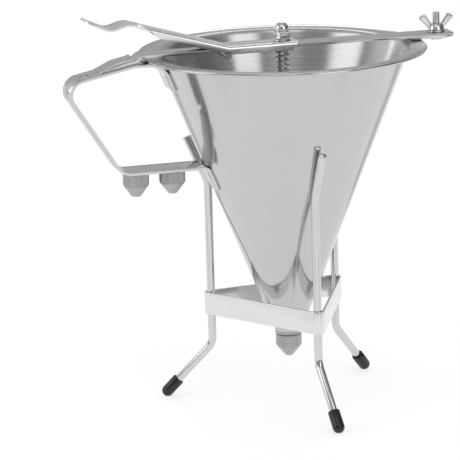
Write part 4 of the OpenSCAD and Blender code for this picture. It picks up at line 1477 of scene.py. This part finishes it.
@dataclass
class Nozzle:
    """A screw-on nozzle: a knurled wall over a cone, with a socket for the spigot."""

    name: str
    node: str
    body: str
    x: float
    top_z: float
    bore: float
    diameter: float = 17.2
    wall_h: float = 8.9
    cone_h: float = 6.8
    socket_d: float = 14
    socket_h: float = 6.6
    outlet_d: float = 9.1
    knurl_depth: float = 0.35
    knurl_count: int = 40
    knurl_edge: float = 0.15
    groove: float = 0.1
    tip_wall: float = 0.7
    tip_edge: tuple[float, float] = (0.2, 0.25)

    def build(self) -> None:
        """Turns the nozzle, then presses the knurl into its wall."""
        outer, top, margin, edge = self.diameter / 2, self.top_z, self.wall_h / 12, self.knurl_edge
        core, chamfer = outer - self.knurl_depth - PLAY, 2 * self.knurl_depth
        socket, outlet, bore = self.socket_d / 2, self.outlet_d / 2, self.bore / 2
        wall_low, floor, tip = top - self.wall_h, top - self.socket_h, bore + self.tip_wall
        low = wall_low - self.cone_h
        section = flat((socket, top), (core - chamfer, top), (core, top - chamfer), (core, top - margin),
                       (outer, top - margin - edge), (outer, wall_low + margin + edge),
                       (core, wall_low + margin), (core, wall_low + edge),
                       (core - edge, wall_low - self.groove),
                       (tip + self.tip_edge[0], low + self.tip_edge[1]), (tip - self.groove, low),
                       (bore, low), (bore, low + self.cone_h / 4), (outlet, wall_low), (outlet, floor),
                       (socket, floor), (socket, top))
        piece = turned(self.name, section, 2 * self.knurl_count, self.x)

        def in_groove(middle: Vector, _: Vector | None) -> bool:
            """Whether a vertex of the knurled wall belongs to a groove."""
            turn = round(math.atan2(middle.y, middle.x - self.x) / (math.pi / self.knurl_count))
            return math.hypot(middle.x - self.x, middle.y) > outer - 5 * NEAR and turn % 2 == 1

        with piece.editing():
            piece.pick(in_groove, "VERT")
            share, middle = (outer - self.knurl_depth) / outer, at(self.x, 0, top - self.wall_h / 2)
            bpy.ops.transform.resize(value=(share, share, 1), center_override=middle)
        piece.finish(self.body, TURNED_STEEL, self.node, smooth=30)


@dataclass
class Stand:
    """Three bent rods in a band, with rubber caps on their feet."""

    leg_r: float = 52
    leg_d: float = 5.5
    leg_edge: float = 0.5
    corners: tuple[tuple[float, float], ...] = ((65.68, 180), (52, 149.85), (52, 38), (83.892, 3.8))
    bend_r: float = 11.75
    cap_d: float = 8
    cap_l: float = 11.5
    cap_depth: float = 10
    cap_edges: tuple[float, float] = (0.5, 0.15)
    splay: float = 43
    band_z: float = 59
    band_h: float = 15
    band_sheet: float = 1.6
    band_edge: float = 0.35
    weld_gap: float = 0.1
    legs: dict[str, float] = field(default_factory=lambda: {"left": 155.0, "front": 275.0, "rear": 35.0})

    def set_three(self, first: Workpiece, kind: str, finish: Finish, node: str) -> None:
        """Sets a copy of a piece at each leg.

        Args:
            first: The piece at the angle zero, which is thrown away.
            kind: What the copies' names end in.
            finish: Their finish.
            node: What the names of their CAD nodes end in.
        """
        for leg, angle in self.legs.items():
            first.copy(f"{leg}_{kind}").turn(angle).finish("stand", finish, f"{leg}_{node}")
        first.discard()

    def build_legs(self) -> None:
        """Bends one rod and sets three of it."""
        line = rounded(flat(*self.corners), [self.bend_r, self.bend_r], 5)
        line[-1] = line[-1] - (line[-1] - line[-2]).normalized() * (self.cap_l - self.cap_depth)
        self.set_three(rod_along("first_rod", line, self.leg_d, self.leg_edge), "rod", DRAWN_ROD, "leg")

    def build_caps(self) -> None:
        """Turns one cap and sets three of it on the feet, flat where they bear on the table."""
        r, end, bore, (edge, brow) = self.cap_d / 2, self.cap_l, self.leg_d / 2 + PLAY, self.cap_edges
        start = end - self.cap_depth - PLAY
        section = arc(Vector((0, 0)), r, -90, 0, 7)
        section += flat((r, end - edge), (r - brow, end - brow), (r - edge, end), (bore, end), (bore, start),
                        (0, start))
        foot_x, foot_z = self.corners[-1]
        cap = turned("first_cap", section, 48).turn(-self.splay, "Y", to=at(foot_x, 0, foot_z))
        with cap.editing():
            cap.pick(lambda middle, _: middle.z < 0, "VERT")
            bpy.ops.transform.resize(value=(1, 1, 0), center_override=at(foot_x, 0, 0))
        self.set_three(cap, "cap", CAP_RUBBER, "foot_cap")

    def build_band(self) -> None:
        """Bends the band round the three rods."""
        radius = self.leg_d / 2 + self.weld_gap + self.band_sheet
        outline = [point for angle in sorted(self.legs.values())
                   for point in arc(self.leg_r * heading(angle), radius, angle - 60, angle + 60)]
        band = open_sheet("rod_band", outline, Plane.LEVEL, self.band_z, self.band_h, closed=True)
        band.thicken(self.band_sheet).round_edges(self.band_edge).finish("stand", BRUSHED_BAND, "stand_band")

    def build(self) -> None:
        """Makes the whole stand."""
        self.build_band()
        self.build_legs()
        self.build_caps()


@dataclass
class CarriedOver:
    """The CAD nodes whose shape is right as it is, and the finishes that they get."""

    finishes: dict[str, Finish] = field(default_factory=lambda: {
        "nozzle_studs": TURNED_STEEL, "pivot_tube": DRAWN_ROD, "pivot_pin": FORMED_STEEL,
        "valve_cone": TURNED_STEEL})

    def build(self) -> None:
        """Gives each node its finish."""
        for node, finish in self.finishes.items():
            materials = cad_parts[node].data.materials
            for i in range(len(materials)):
                materials[i] = finish.material()
            log.info("%s keeps its CAD shape in %s", node, finish.name)


def main() -> None:
    """Builds the studio and every piece in order."""
    logging.basicConfig(level=logging.INFO, format="%(name)s: %(message)s")
    funnel = Funnel()
    handle = Handle(funnel)
    crossbar = Crossbar(handle)
    for part in (Studio(), Stand(), funnel, handle, crossbar, WingNut(crossbar.bolt_x), Lever(), Plunger(),
                 Nozzle("outlet_nozzle", "fitted_nozzle", "fitted_nozzle", x=0, top_z=46.595, bore=3.6),
                 Nozzle("left_nozzle", "spare_nozzle_left", "left_spare", x=-101.5, top_z=164.9, bore=5),
                 Nozzle("right_nozzle", "spare_nozzle_right", "right_spare", x=-77, top_z=164.9, bore=4.4),
                 CarriedOver()):
        log.info("building %s", type(part).__name__)
        part.build()


if __name__ == "__main__":
    main()
